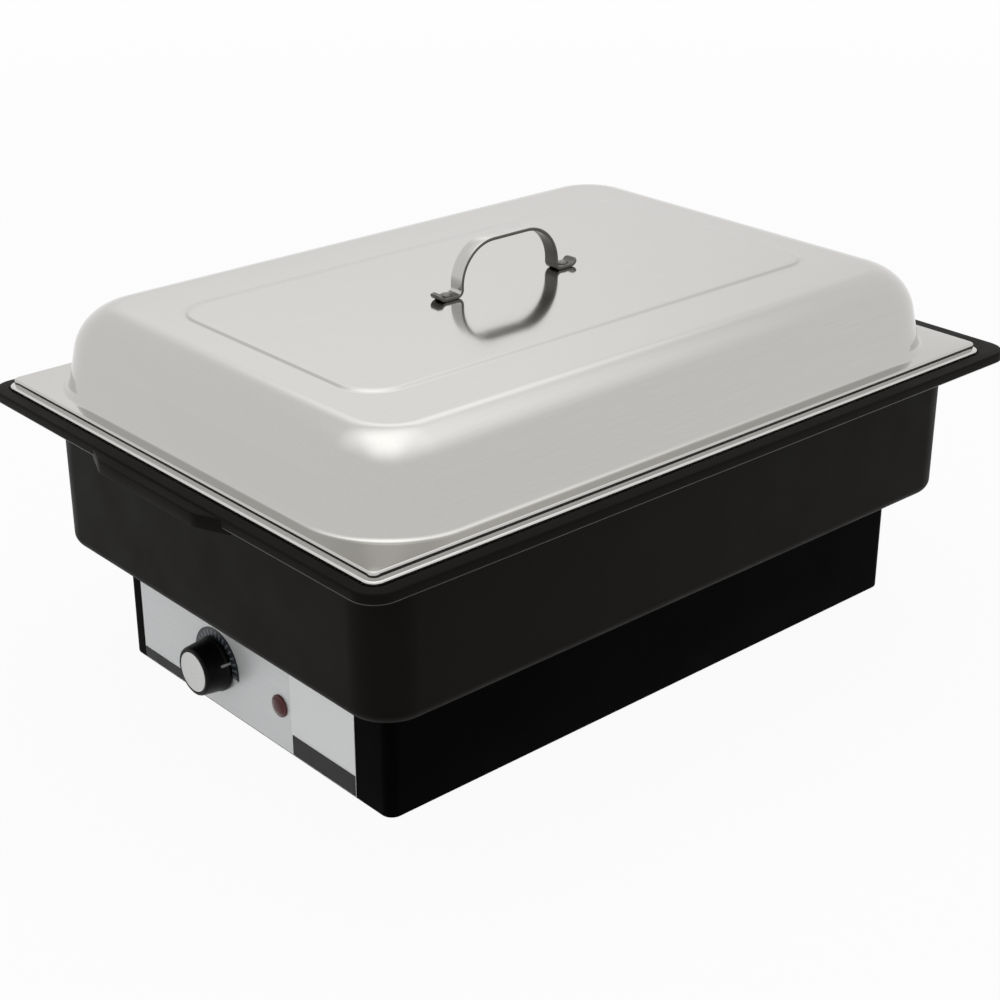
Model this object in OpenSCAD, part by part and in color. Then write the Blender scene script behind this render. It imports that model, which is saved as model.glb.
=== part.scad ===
/* [Flanges and rim] */
// Length of the food pan's flange
flange_l = 530; // [510:1:550]
// Width of the food pan's flange
flange_w = 384; // [374:1:392]
// Corner radius of the pan's flange
flange_r = 8; // [6:1:14]
// Height of the ledge that carries the pan, above the table
ledge_z = 192.3; // [188:0.1:198]
// Margin of the plastic rim beyond the pan flange at the short ends, with the pan in the middle
rim_margin_x = 15; // [13:0.5:20]
// Margin of the plastic rim beyond the pan flange on the long sides
rim_margin_y = 10.5; // [7:0.5:14]
// Corner radius of the plastic rim
rim_r = 17; // [10:1:20]
// Thickness of the plastic rim plate
rim_t = 3.5; // [2.5:0.5:4]
// Drop of the rim's edge below the ledge
rim_drop = 5.5; // [4.5:0.5:8]
// Thickness of the rim's turned-down edge
rim_edge_t = 3; // [2:0.5:4]
// Rise of the rim's edge above the ledge
rim_lip = 1.2; // [0.5:0.1:2]
// Gap between the pan flange and the rim's edge
flange_gap = 1; // [0.5:0.1:2]
// Offset of the pan and the lid towards the panel end
pan_shift = 5.5; // [0:0.5:7]

/* [Grip tabs] */
// How far a grip tab stands out from the rim
tab_out = 7.5; // [5:0.5:12]
// Width of a grip tab at its outer edge
tab_outer_w = 102; // [80:1:120]
// Width of a grip tab where it leaves the rim
tab_inner_w = 146; // [125:1:170]
// Drop of a grip tab's edge below the ledge
tab_drop = 8.7; // [7:0.1:12]
// Wall of a grip tab
tab_wall = 3; // [2:0.5:4]

/* [Water tub] */
// Outside length of the tub
tub_l = 513; // [500:1:518]
// Outside width of the tub
tub_w = 347; // [340:1:354]
// Corner radius of the tub
tub_r = 29; // [24:1:40]
// Offset of the tub towards the end away from the panel
tub_shift = 3.3; // [0:0.1:5]
// Height of the tub's underside above the table
tub_z = 86.5; // [82:0.5:92]
// Fillet along the tub's bottom edge
tub_fillet = 8; // [6:0.5:12]
// Wall of the tub
tub_wall = 3.5; // [2.5:0.5:4.5]
// Floor of the tub
tub_floor = 4; // [3:0.5:5]

/* [Food pan] */
// Thickness of the stainless sheet of the pan and the lid
sheet_t = 1; // [0.8:0.1:1.2]
// Height of the pan flange's folded edge
pan_edge_h = 3.2; // [2.5:0.1:4]
// Gap between the pan's body and the tub wall at the tight end
pan_gap = 8.5; // [7:0.5:12]
// Depth of the pan
pan_depth = 65; // [40:1:70]
// Plan corner radius of the pan's body
pan_r = 48; // [42:1:56]
// Draw-in of the pan's wall from flange to floor
pan_draw = 5; // [3:0.5:8]
// Fillet along the pan's floor
pan_fillet = 14; // [8:1:18]

/* [Lid] */
// Inset of the lid's edge from the pan flange
lid_inset = 3; // [2:0.5:5]
// Height of the lid flange's folded edge
lid_edge_h = 4.2; // [3:0.1:6]
// Corner radius of the lid's edge
lid_edge_r = 5; // [3:1:10]
// Flat margin between the lid's edge and the foot of the dome
dome_margin = 11; // [8:0.5:14]
// Plan corner radius of the dome's foot
dome_r = 58; // [52:1:66]
// Height of the dome above the lid flange
dome_h = 53; // [48:1:60]
// Radius of the dome's shoulder
shoulder_r = 34; // [28:1:38]
// Lean of the dome's side wall in degrees
dome_lean = 12; // [8:1:14]
// Length of the pressed panel on top
crown_l = 386; // [360:1:394]
// Width of the pressed panel on top
crown_w = 198; // [180:1:210]
// Corner radius of the pressed panel
crown_r = 26; // [18:1:32]
// Rise of the pressed panel
crown_h = 1.2; // [1:0.1:2]

/* [Lid handle] */
// Outside width across the handle's legs
handle_span = 85; // [76:0.5:92]
// Height of the handle above the lid
handle_h = 35; // [34.5:0.5:40]
// Outer radius of the handle's upper bends
handle_corner_r = 28; // [20:1:28]
// Width of the handle's strap
handle_w = 11; // [10:0.5:14]
// Thickness of the handle's strap
handle_t = 2.5; // [2:0.1:3]
// Mid radius of the bend into each foot
handle_bend_r = 4; // [3.5:0.5:4.5]
// Flat length of each foot
handle_foot_l = 11; // [10:0.5:14]
// Length of each turned-up tip
handle_tip_l = 5.5; // [3:0.5:7]
// Turn of each tip in degrees
handle_tip_angle = 55; // [30:1:65]
// Shank diameter of the rivets
rivet_d = 4; // [3:0.5:4]

/* [Base] */
// Length of the base
base_l = 461; // [450:1:466]
// Width of the base
base_w = 281; // [274:0.5:287]
// Corner radius of the base
base_r = 8; // [6:1:12]
// Offset of the base towards the end away from the panel
base_shift = 8; // [4:0.5:11]
// Wall of the base
base_wall = 3; // [2.5:0.5:4]
// Width of the flange that carries the tub
base_flange_w = 14; // [13:1:18]
// Thickness of the flange that carries the tub
base_flange_t = 4; // [3:0.5:5]
// Height of the base's lower edge above the table
foot_proud = 2; // [1.5:0.5:4]
// Step from the base's lower edge up to the bottom cover
cover_step = 1; // [0.5:0.5:2]
// Thickness of the bottom cover
cover_t = 2; // [1.5:0.5:3]
// Diameter of the rubber feet
foot_d = 24; // [20:1:30]
// Diameter of the feet's stems
foot_stem_d = 6; // [5:0.5:8]
// Inset of the feet from the base's ends and sides
foot_inset = 40; // [34:1:60]
// Shank diameter of the housing screws
screw_d = 4; // [3:0.5:4]
// Head diameter of the housing screws
screw_head_d = 7; // [6:0.5:8]
// Head height of the housing screws
screw_head_h = 1.6; // [1.4:0.2:2]
// Diameter of the screw posts in the base
post_d = 12; // [10:0.5:14]

/* [Control panel] */
// Width of the fascia plate
panel_w = 233; // [218:1:238]
// Height of the fascia plate
panel_h = 69; // [62:1:71]
// Thickness of the fascia plate
panel_t = 1.2; // [1:0.1:1.5]
// How far the fascia plate stands proud of the base
panel_proud = 0.3; // [0.1:0.1:0.5]
// Sideways place of the fascia plate's middle
panel_y = 8.2; // [4:0.2:12]
// Step from the base's lower edge to the fascia plate
panel_step = 1.5; // [1:0.5:3]
// Sideways place of the knob
knob_y = 36.2; // [31:0.2:41]
// Height of the knob's axis above the base's lower edge
knob_up = 33.5; // [30:0.5:36]
// Diameter of the knob at its back
knob_d = 37.5; // [36:0.5:39]
// Diameter of the knob at its front
knob_front_d = 33; // [31:0.5:35.5]
// Length of the knob
knob_l = 18; // [16:0.5:22]
// Diameter of the silver cap in the knob's face
knob_cap_d = 27; // [24:0.5:29]
// Angle of the knob's pointer from upright at rest, clockwise as the user sees it
pointer_angle = 68; // [40:1:80]
// Diameter of the thermostat shaft
shaft_d = 6; // [5:0.5:7]
// Inner diameter of the dial scale
scale_in_d = 36; // [35.5:0.5:38]
// Outer diameter of the dial scale
scale_out_d = 49; // [46:0.5:52]
// Thickness of printed films on the fascia plate
film_t = 0.3; // [0.2:0.1:0.5]
// Sideways place of the pilot lamp
lamp_y = -32.8; // [-37:0.2:-26]
// Height of the pilot lamp above the base's lower edge
lamp_up = 31.8; // [28:0.2:35]
// Diameter of the pilot lamp's lens
lamp_d = 15; // [13:0.5:17]
// Diameter of the pilot lamp's body
lamp_body_d = 12; // [10:0.5:12.5]
// Height of the dark band beside the knob
band_left_h = 7.5; // [5:0.5:9]
// Height of the dark band beside the lamp
band_right_h = 14; // [10:0.5:17]
// Length of the dark band beside the lamp
band_right_l = 63; // [50:1:66]

/* [Electrics] */
// Length of the heater plate
heater_l = 290; // [270:1:310]
// Width of the heater plate
heater_w = 200; // [190:1:210]
// Thickness of the heater plate
heater_t = 3; // [2.5:0.5:4]
// Thickness of the heater gasket
gasket_t = 2; // [1.5:0.5:3]
// Width of the land that the heater plate overlaps
heater_land = 28; // [24:1:30]
// Diameter of the heater studs
stud_d = 5; // [4:0.5:6]
// Diameter of the heating element
element_d = 8; // [6.5:0.5:8.5]
// Radius of the heating element's return bend
element_r = 40; // [34:1:44]
// Straight length of the heating element
element_run = 140; // [120:1:150]
// Depth of the heat shield's tray
shield_depth = 16; // [15:1:20]
// Thickness of the heat shield's sheet
shield_t = 1; // [0.8:0.1:1.2]
// Side of the thermostat's body
thermostat_side = 36; // [34:0.5:38]
// Depth of the thermostat's body
thermostat_depth = 24; // [20:1:28]
// Diameter of the thermostat's bulb
bulb_d = 6; // [5:0.5:6.5]
// Length of the thermostat's bulb
bulb_l = 70; // [60:1:80]
// Diameter of the capillary tube
capillary_d = 2; // [1.5:0.1:2.5]
// Diameter of the thermal cut-out
cutout_d = 18; // [16:0.5:20]
// Height of the thermal cut-out
cutout_h = 9; // [8:0.5:10]
// Diameter of the inner wires
wire_d = 3; // [2:0.1:3.2]
// Bend radius of the inner wires
wire_bend = 5; // [4:0.5:6]
// Thread diameter of the cord gland
gland_d = 16; // [14:0.5:18]
// Bore of the cord gland
gland_bore_d = 8; // [6:0.5:9]
// Height of the cord gland above the base's lower edge
gland_up = 32; // [26:1:40]

/* [Clearances] */
// Clearance of the shaft in its bores, on the radius
running_gap = 0.05; // [0.02:0.01:0.08]
// Clearance of screws, studs and stems in their holes, on the radius
hole_gap = 0.2; // [0.1:0.05:0.3]
// Clearance round seated plates
seat_gap = 0.3; // [0.2:0.05:0.5]
// Gap between the knob's back and the fascia plate
knob_gap = 0.8; // [0.6:0.1:1.2]

/* [Hidden] */
$fn = 64;
cut = 1;
// How far a rounding reaches past the flats that it joins
ease = 0.02;
// How far the lengths of the handle's strap run into each other
strap_join = 0.5;
// How far the straight lengths of a bent tube run into its bends
tube_join = 0.25;

// Rim, tub and pan
rim_l = flange_l + 2 * rim_margin_x;
rim_w = flange_w + 2 * rim_margin_y;
tub_inner_l = tub_l - 2 * tub_wall;
tub_inner_w = tub_w - 2 * tub_wall;
tub_floor_z = tub_z + tub_floor;
pan_top = ledge_z + pan_edge_h;
pan_l = tub_inner_l - 2 * (tub_shift + pan_shift) - 2 * pan_gap;
pan_w = tub_inner_w - 2 * pan_gap;
pan_floor_z = pan_top - pan_depth;

// Lid and handle
lid_l = flange_l - 2 * lid_inset;
lid_w = flange_w - 2 * lid_inset;
lid_flange_z = pan_top + lid_edge_h;
dome_l = lid_l - 2 * dome_margin;
dome_w = lid_w - 2 * dome_margin;
dome_top = lid_flange_z + dome_h;
crown_z = dome_top + crown_h;
leg_x = handle_span / 2 - handle_t / 2;
corner_x = handle_span / 2 - handle_corner_r;
corner_z = crown_z + handle_h - handle_corner_r;
bend_x = leg_x + handle_bend_r;
bend_z = crown_z + handle_t / 2 + handle_bend_r;
foot_end_x = bend_x + handle_foot_l;
rivet_x = bend_x + handle_foot_l / 2;
rivet_head_d = 2 * rivet_d;
rivet_head_h = 0.35 * rivet_d;
washer_t = rivet_d / 4;

// Holes for screws and studs
screw_hole_d = screw_d + 2 * hole_gap;
stud_hole_d = stud_d + 2 * hole_gap;

// Base
base_inner_l = base_l - 2 * base_wall;
base_inner_w = base_w - 2 * base_wall;
base_inner_r = base_r - base_wall;
flange_low_z = tub_z - base_flange_t;
cover_z = foot_proud + cover_step;
cover_top = cover_z + cover_t;
post_x = base_inner_l / 2 - post_d / 2;
post_y = base_inner_w / 2 - post_d / 2;
post_hole_h = 14;
tub_screw_y = base_inner_w / 2 - base_flange_w / 2;
tub_screw_x = base_inner_l / 2 - base_flange_w / 2;
tub_screw_spread = 140;
tub_screw_spots = [[-tub_screw_spread, tub_screw_y], [tub_screw_spread, tub_screw_y],
  [-tub_screw_spread, -tub_screw_y], [tub_screw_spread, -tub_screw_y], [-tub_screw_x, 0], [tub_screw_x, 0]];
tub_screw_l = 11;
boss_d = 3 * screw_d;
boss_h = 8;
foot_x = base_l / 2 - foot_inset;
foot_y = base_w / 2 - foot_inset;
foot_spots = [for (sx = [-1, 1], sy = [-1, 1]) [sx * foot_x, sy * foot_y]];
foot_head_d = 1.5 * foot_stem_d;
foot_head_h = 2;
vent_count = 9;
vent_pitch = 12;
vent_l = 60;
vent_w = 4;

// Control panel, on the end face of the base
face_x = base_shift - base_l / 2;
panel_face_x = face_x - panel_proud;
inner_face_x = face_x + base_wall;
panel_z = foot_proud + panel_step;
knob_z = foot_proud + knob_up;
lamp_z = foot_proud + lamp_up;
nose_wall = 1.8;
nose_d = shaft_d + 2 * nose_wall;
thermostat_screw_offset = 13;
thermostat_screw_in = 8;
thermostat_back_x = inner_face_x + thermostat_depth;
cap_recess = 0.8;
cap_t = 1;
knob_cavity = 4;
knob_wall = 2;
hub_d = 2 * shaft_d;
shaft_out = 0.75 * knob_l;
shaft_end_gap = 2;
band_inset = 0.5;
scale_gap_angle = 160;
pointer_w = 1.6;
pointer_l = 7;
pointer_t = 1.2;
lamp_body_l = 30;
lamp_nut_t = 4;
lamp_back_x = panel_face_x + lamp_body_l;

// Heater, seen from the tub's floor downwards
gasket_top = tub_floor_z + gasket_t;
opening_l = heater_l - 2 * heater_land;
opening_w = heater_w - 2 * heater_land;
opening_r = 12;
heater_r = 20;
stud_x = heater_l / 2 - heater_land / 2;
stud_y = heater_w / 2 - heater_land / 2;
stud_spots = [for (sx = [-1, 1], sy = [-1, 1]) [sx * stud_x, sy * stud_y], [0, stud_y], [0, -stud_y]];
nut_h = 4;
stud_tail = 1.5;
shield_top = tub_z;
shield_z = shield_top - shield_depth;
element_z = gasket_top - element_d / 2;
element_back_x = -element_run / 2 - element_r / 2;
element_front_x = element_back_x + element_run;
element_elbow_r = 1.5 * element_d;
element_leg_x = element_back_x - element_elbow_r;
element_end_z = shield_z - 1.5 * element_d;
pin_d = element_d / 2;
pin_l = element_d;
pin_z = element_end_z - pin_l;
clamp_spots = [element_back_x + element_run / 4, element_front_x - element_run / 10];
clamp_w = 1.5 * element_d;
clamp_t = element_d / 4;
clamp_over = element_d;
clamp_low_z = element_z - element_d / 2 - clamp_t;
clamp_screw_d = stud_d;
clamp_head_h = 0.7 * stud_d;
bulb_y = 3 * bulb_d;
bulb_z = gasket_top - bulb_d / 2;
bulb_start_x = clamp_spots[0] + clamp_w;
bulb_clip_t = bulb_d / 5;
bulb_clip_l = bulb_l / 7;
cutout_x = 0;
cutout_y = 0;
cutout_ear = 12;
cutout_low_z = shield_z - cutout_h;

// Terminal block, earth stud and wires
block_l = 22;
block_w = 46;
block_h = 16;
block_x = base_shift + base_l / 2 - base_l / 6;
pole_pitch = 14;
pole_z = cover_top + block_h / 2;
pole_depth = 8;
pole_end_x = block_x - block_l / 2 + pole_depth;
earth_x = heater_l / 5;
earth_y = -heater_w / 4;
earth_l = 3.5 * screw_d;
wire_hole_gap = 0.5;
cutout_wire_z = shield_z - cutout_h / 2;
pin_wire_z = element_end_z - pin_l / 2;
tap_out = thermostat_side / 4;
tap_in = thermostat_side / 6;
tap_lamp = thermostat_side / 3;
tap_up = thermostat_side / 5;
live_z = knob_z - tap_up;
switched_z = knob_z + tap_up;
capillary_z = knob_z + 2 * tap_up;
capillary_drop_x = element_back_x + 1.5 * element_d;
wire_lead = 4 * wire_bend;
wire_hop = 3 * wire_bend;
lamp_far = 9 * wire_bend;
earth_far = 8 * wire_bend;
gland_z = foot_proud + gland_up;
end_x = base_shift + base_l / 2;
gland_nut_t = 5;
gland_hex_t = 5;
gland_cap_l = 11;
gland_tail = 2;

// Rounded rectangle centred on the origin
module rounded_rect(l, w, r) {
  square([l - 2 * r, w], center = true);
  square([l, w - 2 * r], center = true);
  for (sx = [-1, 1], sy = [-1, 1])
    translate([sx * (l / 2 - r), sy * (w / 2 - r)]) circle(r = r);
}

// Upright plate with a rounded rectangular outline
module rounded_plate(l, w, r, z, h) {
  translate([0, 0, z]) linear_extrude(h) rounded_rect(l, w, r);
}

// Solid whose edge profile, drawn outwards from the corner centres, runs round a rounded rectangle
module swept_block(l, w, r, z_low, z_high) {
  for (k = [0 : 3])
    rotate(90 * k)
      translate([(k % 2 == 0 ? l : w) / 2 - r, (k % 2 == 0 ? w : l) / 2 - r])
        rotate_extrude(angle = 90) children();
  rotate([90, 0, 0]) linear_extrude(w - 2 * r, center = true)
    for (m = [0, 1]) mirror([m, 0]) translate([l / 2 - r, 0]) children();
  rotate([90, 0, 90]) linear_extrude(l - 2 * r, center = true)
    for (m = [0, 1]) mirror([m, 0]) translate([w / 2 - r, 0]) children();
  translate([0, 0, z_low]) linear_extrude(z_high - z_low) square([l - 2 * r, w - 2 * r], center = true);
}

// Wall profile with a rounded lower edge that draws in towards the floor
module basin_profile(r, fillet, draw, z_low, z_high) {
  lean = atan(draw / (z_high - z_low));
  foot_r = r - draw;
  reach = fillet * tan(45 - lean / 2);
  centre = [foot_r - reach, z_low + fillet];
  wall_out = [cos(lean), -sin(lean)];
  difference() {
    polygon([[0, z_low], [foot_r, z_low], [r, z_high], [0, z_high]]);
    difference() {
      polygon([centre, centre + [0, -fillet - cut], [r + cut, z_low - cut],
        centre + (fillet + draw + cut) * wall_out]);
      translate(centre) circle(r = fillet + ease);
    }
  }
}

// Wall profile that leans in and turns over a round shoulder to a flat top
module dome_profile(r, shoulder, z_low, z_high) {
  apex = [r - (z_high - z_low) * tan(dome_lean), z_high];
  reach = shoulder * tan(45 - dome_lean / 2);
  centre = [apex[0] - reach, z_high - shoulder];
  wall_out = [cos(dome_lean), sin(dome_lean)];
  difference() {
    polygon([[0, z_low], [r, z_low], apex, [0, z_high]]);
    difference() {
      polygon([centre, centre + (shoulder + cut) * wall_out, [r + cut, z_high + cut],
        centre + [0, shoulder + cut]]);
      translate(centre) circle(r = shoulder + ease);
    }
  }
}

// Plate standing across the panel end, drawn as sideways and height
module end_plate(x, t) {
  translate([x, 0, 0]) rotate([90, 0, 90]) linear_extrude(t) children();
}

// Rod along the length of the object
module rod_x(x, y, z, d, l) {
  translate([x, y, z]) rotate([0, 90, 0]) cylinder(d = d, h = l);
}

// Places a piece on the knob's axis, with its own height pointing out of the panel
module on_knob_axis() {
  translate([panel_face_x, knob_y, knob_z]) rotate([0, -90, 0]) children();
}

// Rotation that turns upright onto a direction
function upright_to(d) =
  let (a = abs(d[2]) < 0.5 ? [0, 0, 1] : [1, 0, 0], x = cross(a, d), y = cross(d, x))
  [[x[0], y[0], d[0], 0], [x[1], y[1], d[1], 0], [x[2], y[2], d[2], 0], [0, 0, 0, 1]];
function direction(a, b) = (b - a) / norm(b - a);

// Round tube along square-cornered points, with a bend at each inner point
module bent_tube(points, d, bend) {
  last = len(points) - 1;
  for (i = [0 : last - 1]) {
    u = direction(points[i], points[i + 1]);
    start = points[i] + (i > 0 ? bend - tube_join : 0) * u;
    end = points[i + 1] - (i + 1 < last ? bend - tube_join : 0) * u;
    translate(start) multmatrix(upright_to(u)) cylinder(d = d, h = norm(end - start));
  }
  for (i = [1 : 1 : last - 1]) {
    u = direction(points[i - 1], points[i]);
    v = direction(points[i], points[i + 1]);
    n = cross(u, v);
    turn = [[-v[0], u[0], n[0], 0], [-v[1], u[1], n[1], 0], [-v[2], u[2], n[2], 0], [0, 0, 0, 1]];
    translate(points[i] + bend * (v - u)) multmatrix(turn)
      rotate_extrude(angle = 90) translate([bend, 0]) circle(d = d - 2 * ease);
  }
}

module tub_bosses() {
  translate([base_shift, 0, tub_floor_z - cut])
    for (p = tub_screw_spots) translate(p) cylinder(d = boss_d, h = boss_h + cut);
}

module rim() {
  difference() {
    rounded_plate(rim_l, rim_w, rim_r, ledge_z - rim_drop, rim_drop + rim_lip);
    translate([-pan_shift, 0, 0])
      rounded_plate(flange_l + 2 * flange_gap, flange_w + 2 * flange_gap, flange_r + flange_gap,
        ledge_z, rim_lip + cut);
    rounded_plate(rim_l - 2 * rim_edge_t, rim_w - 2 * rim_edge_t, rim_r - rim_edge_t,
      ledge_z - rim_drop - cut, rim_drop + cut - rim_t);
  }
}

module tab_outline(inset) {
  root_x = rim_l / 2 - rim_edge_t - inset;
  polygon([[root_x, -tab_inner_w / 2 + inset], [rim_l / 2 + tab_out - inset, -tab_outer_w / 2 + inset / 2],
    [rim_l / 2 + tab_out - inset, tab_outer_w / 2 - inset / 2], [root_x, tab_inner_w / 2 - inset]]);
}

module rim_with_tabs() {
  difference() {
    union() {
      rim();
      for (m = [0, 1]) mirror([m, 0, 0])
        translate([0, 0, ledge_z - tab_drop]) linear_extrude(tab_drop) tab_outline(0);
    }
    for (m = [0, 1]) mirror([m, 0, 0])
      translate([0, 0, ledge_z - tab_drop - cut])
        linear_extrude(tab_drop + cut - rim_t) tab_outline(tab_wall);
  }
}

module water_tub() {
  color("#24221f") difference() {
    union() {
      difference() {
        union() {
          rim_with_tabs();
          translate([tub_shift, 0, 0]) swept_block(tub_l, tub_w, tub_r, tub_z, ledge_z)
            basin_profile(tub_r, tub_fillet, 0, tub_z, ledge_z);
        }
        translate([tub_shift, 0, 0])
          swept_block(tub_inner_l, tub_inner_w, tub_r - tub_wall, tub_floor_z, ledge_z + cut)
            basin_profile(tub_r - tub_wall, tub_fillet - tub_wall, 0, tub_floor_z, ledge_z + cut);
      }
      tub_bosses();
    }
    rounded_plate(opening_l, opening_w, opening_r, tub_z - cut, tub_floor + 2 * cut);
    for (p = stud_spots)
      translate([p[0], p[1], tub_z - cut]) cylinder(d = stud_hole_d, h = tub_floor + 2 * cut);
    for (p = tub_screw_spots)
      translate([base_shift + p[0], p[1], tub_z - cut])
        cylinder(d = screw_hole_d, h = cut + tub_screw_l - base_flange_t + hole_gap);
  }
}

module base_plinth() {
  color("#151413") difference() {
    translate([base_shift, 0, 0]) {
      difference() {
        rounded_plate(base_l, base_w, base_r, foot_proud, tub_z - foot_proud);
        rounded_plate(base_inner_l, base_inner_w, base_inner_r,
          foot_proud - cut, flange_low_z - foot_proud + cut);
        rounded_plate(base_inner_l - 2 * base_flange_w, base_inner_w - 2 * base_flange_w, base_inner_r,
          flange_low_z - cut, base_flange_t + 2 * cut);
      }
      for (sx = [-1, 1], sy = [-1, 1])
        translate([sx * post_x, sy * post_y, cover_top]) difference() {
          union() {
            cylinder(d = post_d, h = flange_low_z - cover_top);
            translate([sx < 0 ? -post_d / 2 : 0, sy < 0 ? -post_d / 2 : 0])
              cube([post_d / 2, post_d / 2, flange_low_z - cover_top]);
          }
          translate([0, 0, -cut]) cylinder(d = screw_hole_d, h = post_hole_h + cut);
        }
    }
    end_plate(face_x - cut, cut + panel_t - panel_proud) translate([panel_y, panel_z + panel_h / 2])
      square([panel_w + 2 * hole_gap, panel_h + 2 * hole_gap], center = true);
    rod_x(face_x - cut, knob_y, knob_z, nose_d + 2 * hole_gap, base_wall + 2 * cut);
    rod_x(face_x - cut, lamp_y, lamp_z, lamp_body_d + 2 * hole_gap, base_wall + 2 * cut);
    for (s = [-1, 1])
      rod_x(face_x - cut, knob_y + s * thermostat_screw_offset, knob_z,
        screw_hole_d, base_wall + 2 * cut);
    rod_x(end_x - base_wall - cut, 0, gland_z, gland_d + 2 * hole_gap, base_wall + 2 * cut);
    for (p = tub_screw_spots)
      translate([base_shift + p[0], p[1], flange_low_z - cut])
        cylinder(d = screw_hole_d, h = base_flange_t + 2 * cut);
  }
}

module bottom_cover() {
  color("#2b2a29") translate([base_shift, 0, 0]) difference() {
    rounded_plate(base_inner_l - 2 * seat_gap, base_inner_w - 2 * seat_gap, base_inner_r, cover_z, cover_t);
    for (sx = [-1, 1], sy = [-1, 1])
      translate([sx * post_x, sy * post_y, cover_z - cut])
        cylinder(d = screw_hole_d, h = cover_t + 2 * cut);
    for (p = foot_spots)
      translate([p[0], p[1], cover_z - cut])
        cylinder(d = foot_stem_d + 2 * hole_gap, h = cover_t + 2 * cut);
    for (i = [0 : vent_count - 1], s = [-1, 1])
      translate([(i - (vent_count - 1) / 2) * vent_pitch, s * vent_l, cover_z - cut])
        linear_extrude(cover_t + 2 * cut) square([vent_w, vent_l], center = true);
  }
}

module rubber_feet() {
  color("#1b1b1b") translate([base_shift, 0, 0])
    for (p = foot_spots) translate(p) {
      cylinder(d = foot_d, h = cover_z);
      cylinder(d = foot_stem_d, h = cover_top + foot_head_h);
      translate([0, 0, cover_top]) cylinder(d = foot_head_d, h = foot_head_h);
    }
}

module cover_screws() {
  color("silver") translate([base_shift, 0, 0])
    for (sx = [-1, 1], sy = [-1, 1]) translate([sx * post_x, sy * post_y, cover_z - screw_head_h]) {
      cylinder(d = screw_head_d, h = screw_head_h);
      cylinder(d = screw_d, h = screw_head_h + cover_t + post_hole_h - cut);
    }
}

module tub_screws() {
  color("silver") translate([base_shift, 0, flange_low_z - screw_head_h])
    for (p = tub_screw_spots) translate(p) {
      cylinder(d = screw_head_d, h = screw_head_h);
      cylinder(d = screw_d, h = screw_head_h + tub_screw_l);
    }
}

module control_panel() {
  color("#bfc1c1") difference() {
    end_plate(panel_face_x, panel_t) translate([panel_y, panel_z + panel_h / 2])
      square([panel_w, panel_h], center = true);
    rod_x(panel_face_x - cut, knob_y, knob_z, nose_d + 2 * hole_gap, panel_t + 2 * cut);
    rod_x(panel_face_x - cut, lamp_y, lamp_z, lamp_body_d + 2 * hole_gap, panel_t + 2 * cut);
    for (s = [-1, 1])
      rod_x(panel_face_x - cut, knob_y + s * thermostat_screw_offset, knob_z,
        screw_hole_d, panel_t + 2 * cut);
  }
}

module dial_scale() {
  reach = scale_out_d;
  side = reach * sin(scale_gap_angle / 2);
  drop = reach * cos(scale_gap_angle / 2);
  color("#25282b") end_plate(panel_face_x - film_t, film_t) translate([knob_y, knob_z]) difference() {
    circle(d = scale_out_d);
    circle(d = scale_in_d);
    polygon([[0, 0], [side, -drop], [side, -drop - reach], [-side, -drop - reach], [-side, -drop]]);
  }
}

module dark_bands() {
  low = panel_z + band_inset;
  left_end = panel_y + panel_w / 2 - band_inset;
  left_start = knob_y + scale_out_d / 2 + band_inset;
  right_end = panel_y - panel_w / 2 + band_inset;
  color("#3b3c40") end_plate(panel_face_x - film_t, film_t) {
    translate([left_start, low]) square([left_end - left_start, band_left_h]);
    translate([right_end, low]) square([band_right_l, band_right_h]);
  }
}

module lamp_lens() {
  rim_h = 1.6;
  dome_rise = 1.4;
  color("#8c1c22") translate([panel_face_x, lamp_y, lamp_z]) rotate([0, -90, 0]) {
    cylinder(d = lamp_d, h = rim_h);
    translate([0, 0, rim_h]) cylinder(d1 = lamp_d, d2 = lamp_d - 4 * dome_rise, h = dome_rise);
  }
}

module lamp_body() {
  color("#d8d4c8") rod_x(panel_face_x, lamp_y, lamp_z, lamp_body_d, lamp_body_l);
}

module lamp_nut() {
  color("silver") difference() {
    rod_x(inner_face_x, lamp_y, lamp_z, 1.5 * lamp_body_d, lamp_nut_t);
    rod_x(inner_face_x - cut, lamp_y, lamp_z, lamp_body_d + 2 * running_gap, lamp_nut_t + 2 * cut);
  }
}

module thermostat_body() {
  color("#c9c2ae") difference() {
    union() {
      end_plate(inner_face_x, thermostat_depth) translate([knob_y, knob_z])
        square([thermostat_side, thermostat_side], center = true);
      rod_x(panel_face_x, knob_y, knob_z, nose_d, base_wall + panel_proud + cut);
    }
    rod_x(panel_face_x - cut, knob_y, knob_z,
      shaft_d + 2 * running_gap, thermostat_depth / 2 + base_wall + cut);
    for (s = [-1, 1])
      rod_x(inner_face_x - cut, knob_y + s * thermostat_screw_offset, knob_z,
        screw_hole_d, thermostat_screw_in + 2 * cut);
  }
}

module thermostat_screws() {
  color("silver") for (s = [-1, 1]) {
    rod_x(panel_face_x - screw_head_h, knob_y + s * thermostat_screw_offset, knob_z,
      screw_head_d, screw_head_h);
    rod_x(panel_face_x - screw_head_h, knob_y + s * thermostat_screw_offset, knob_z,
      screw_d, screw_head_h + panel_proud + base_wall + thermostat_screw_in);
  }
}

module sensor_bulb() {
  color("#b87333") rod_x(bulb_start_x, bulb_y, bulb_z, bulb_d, bulb_l);
}

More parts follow.
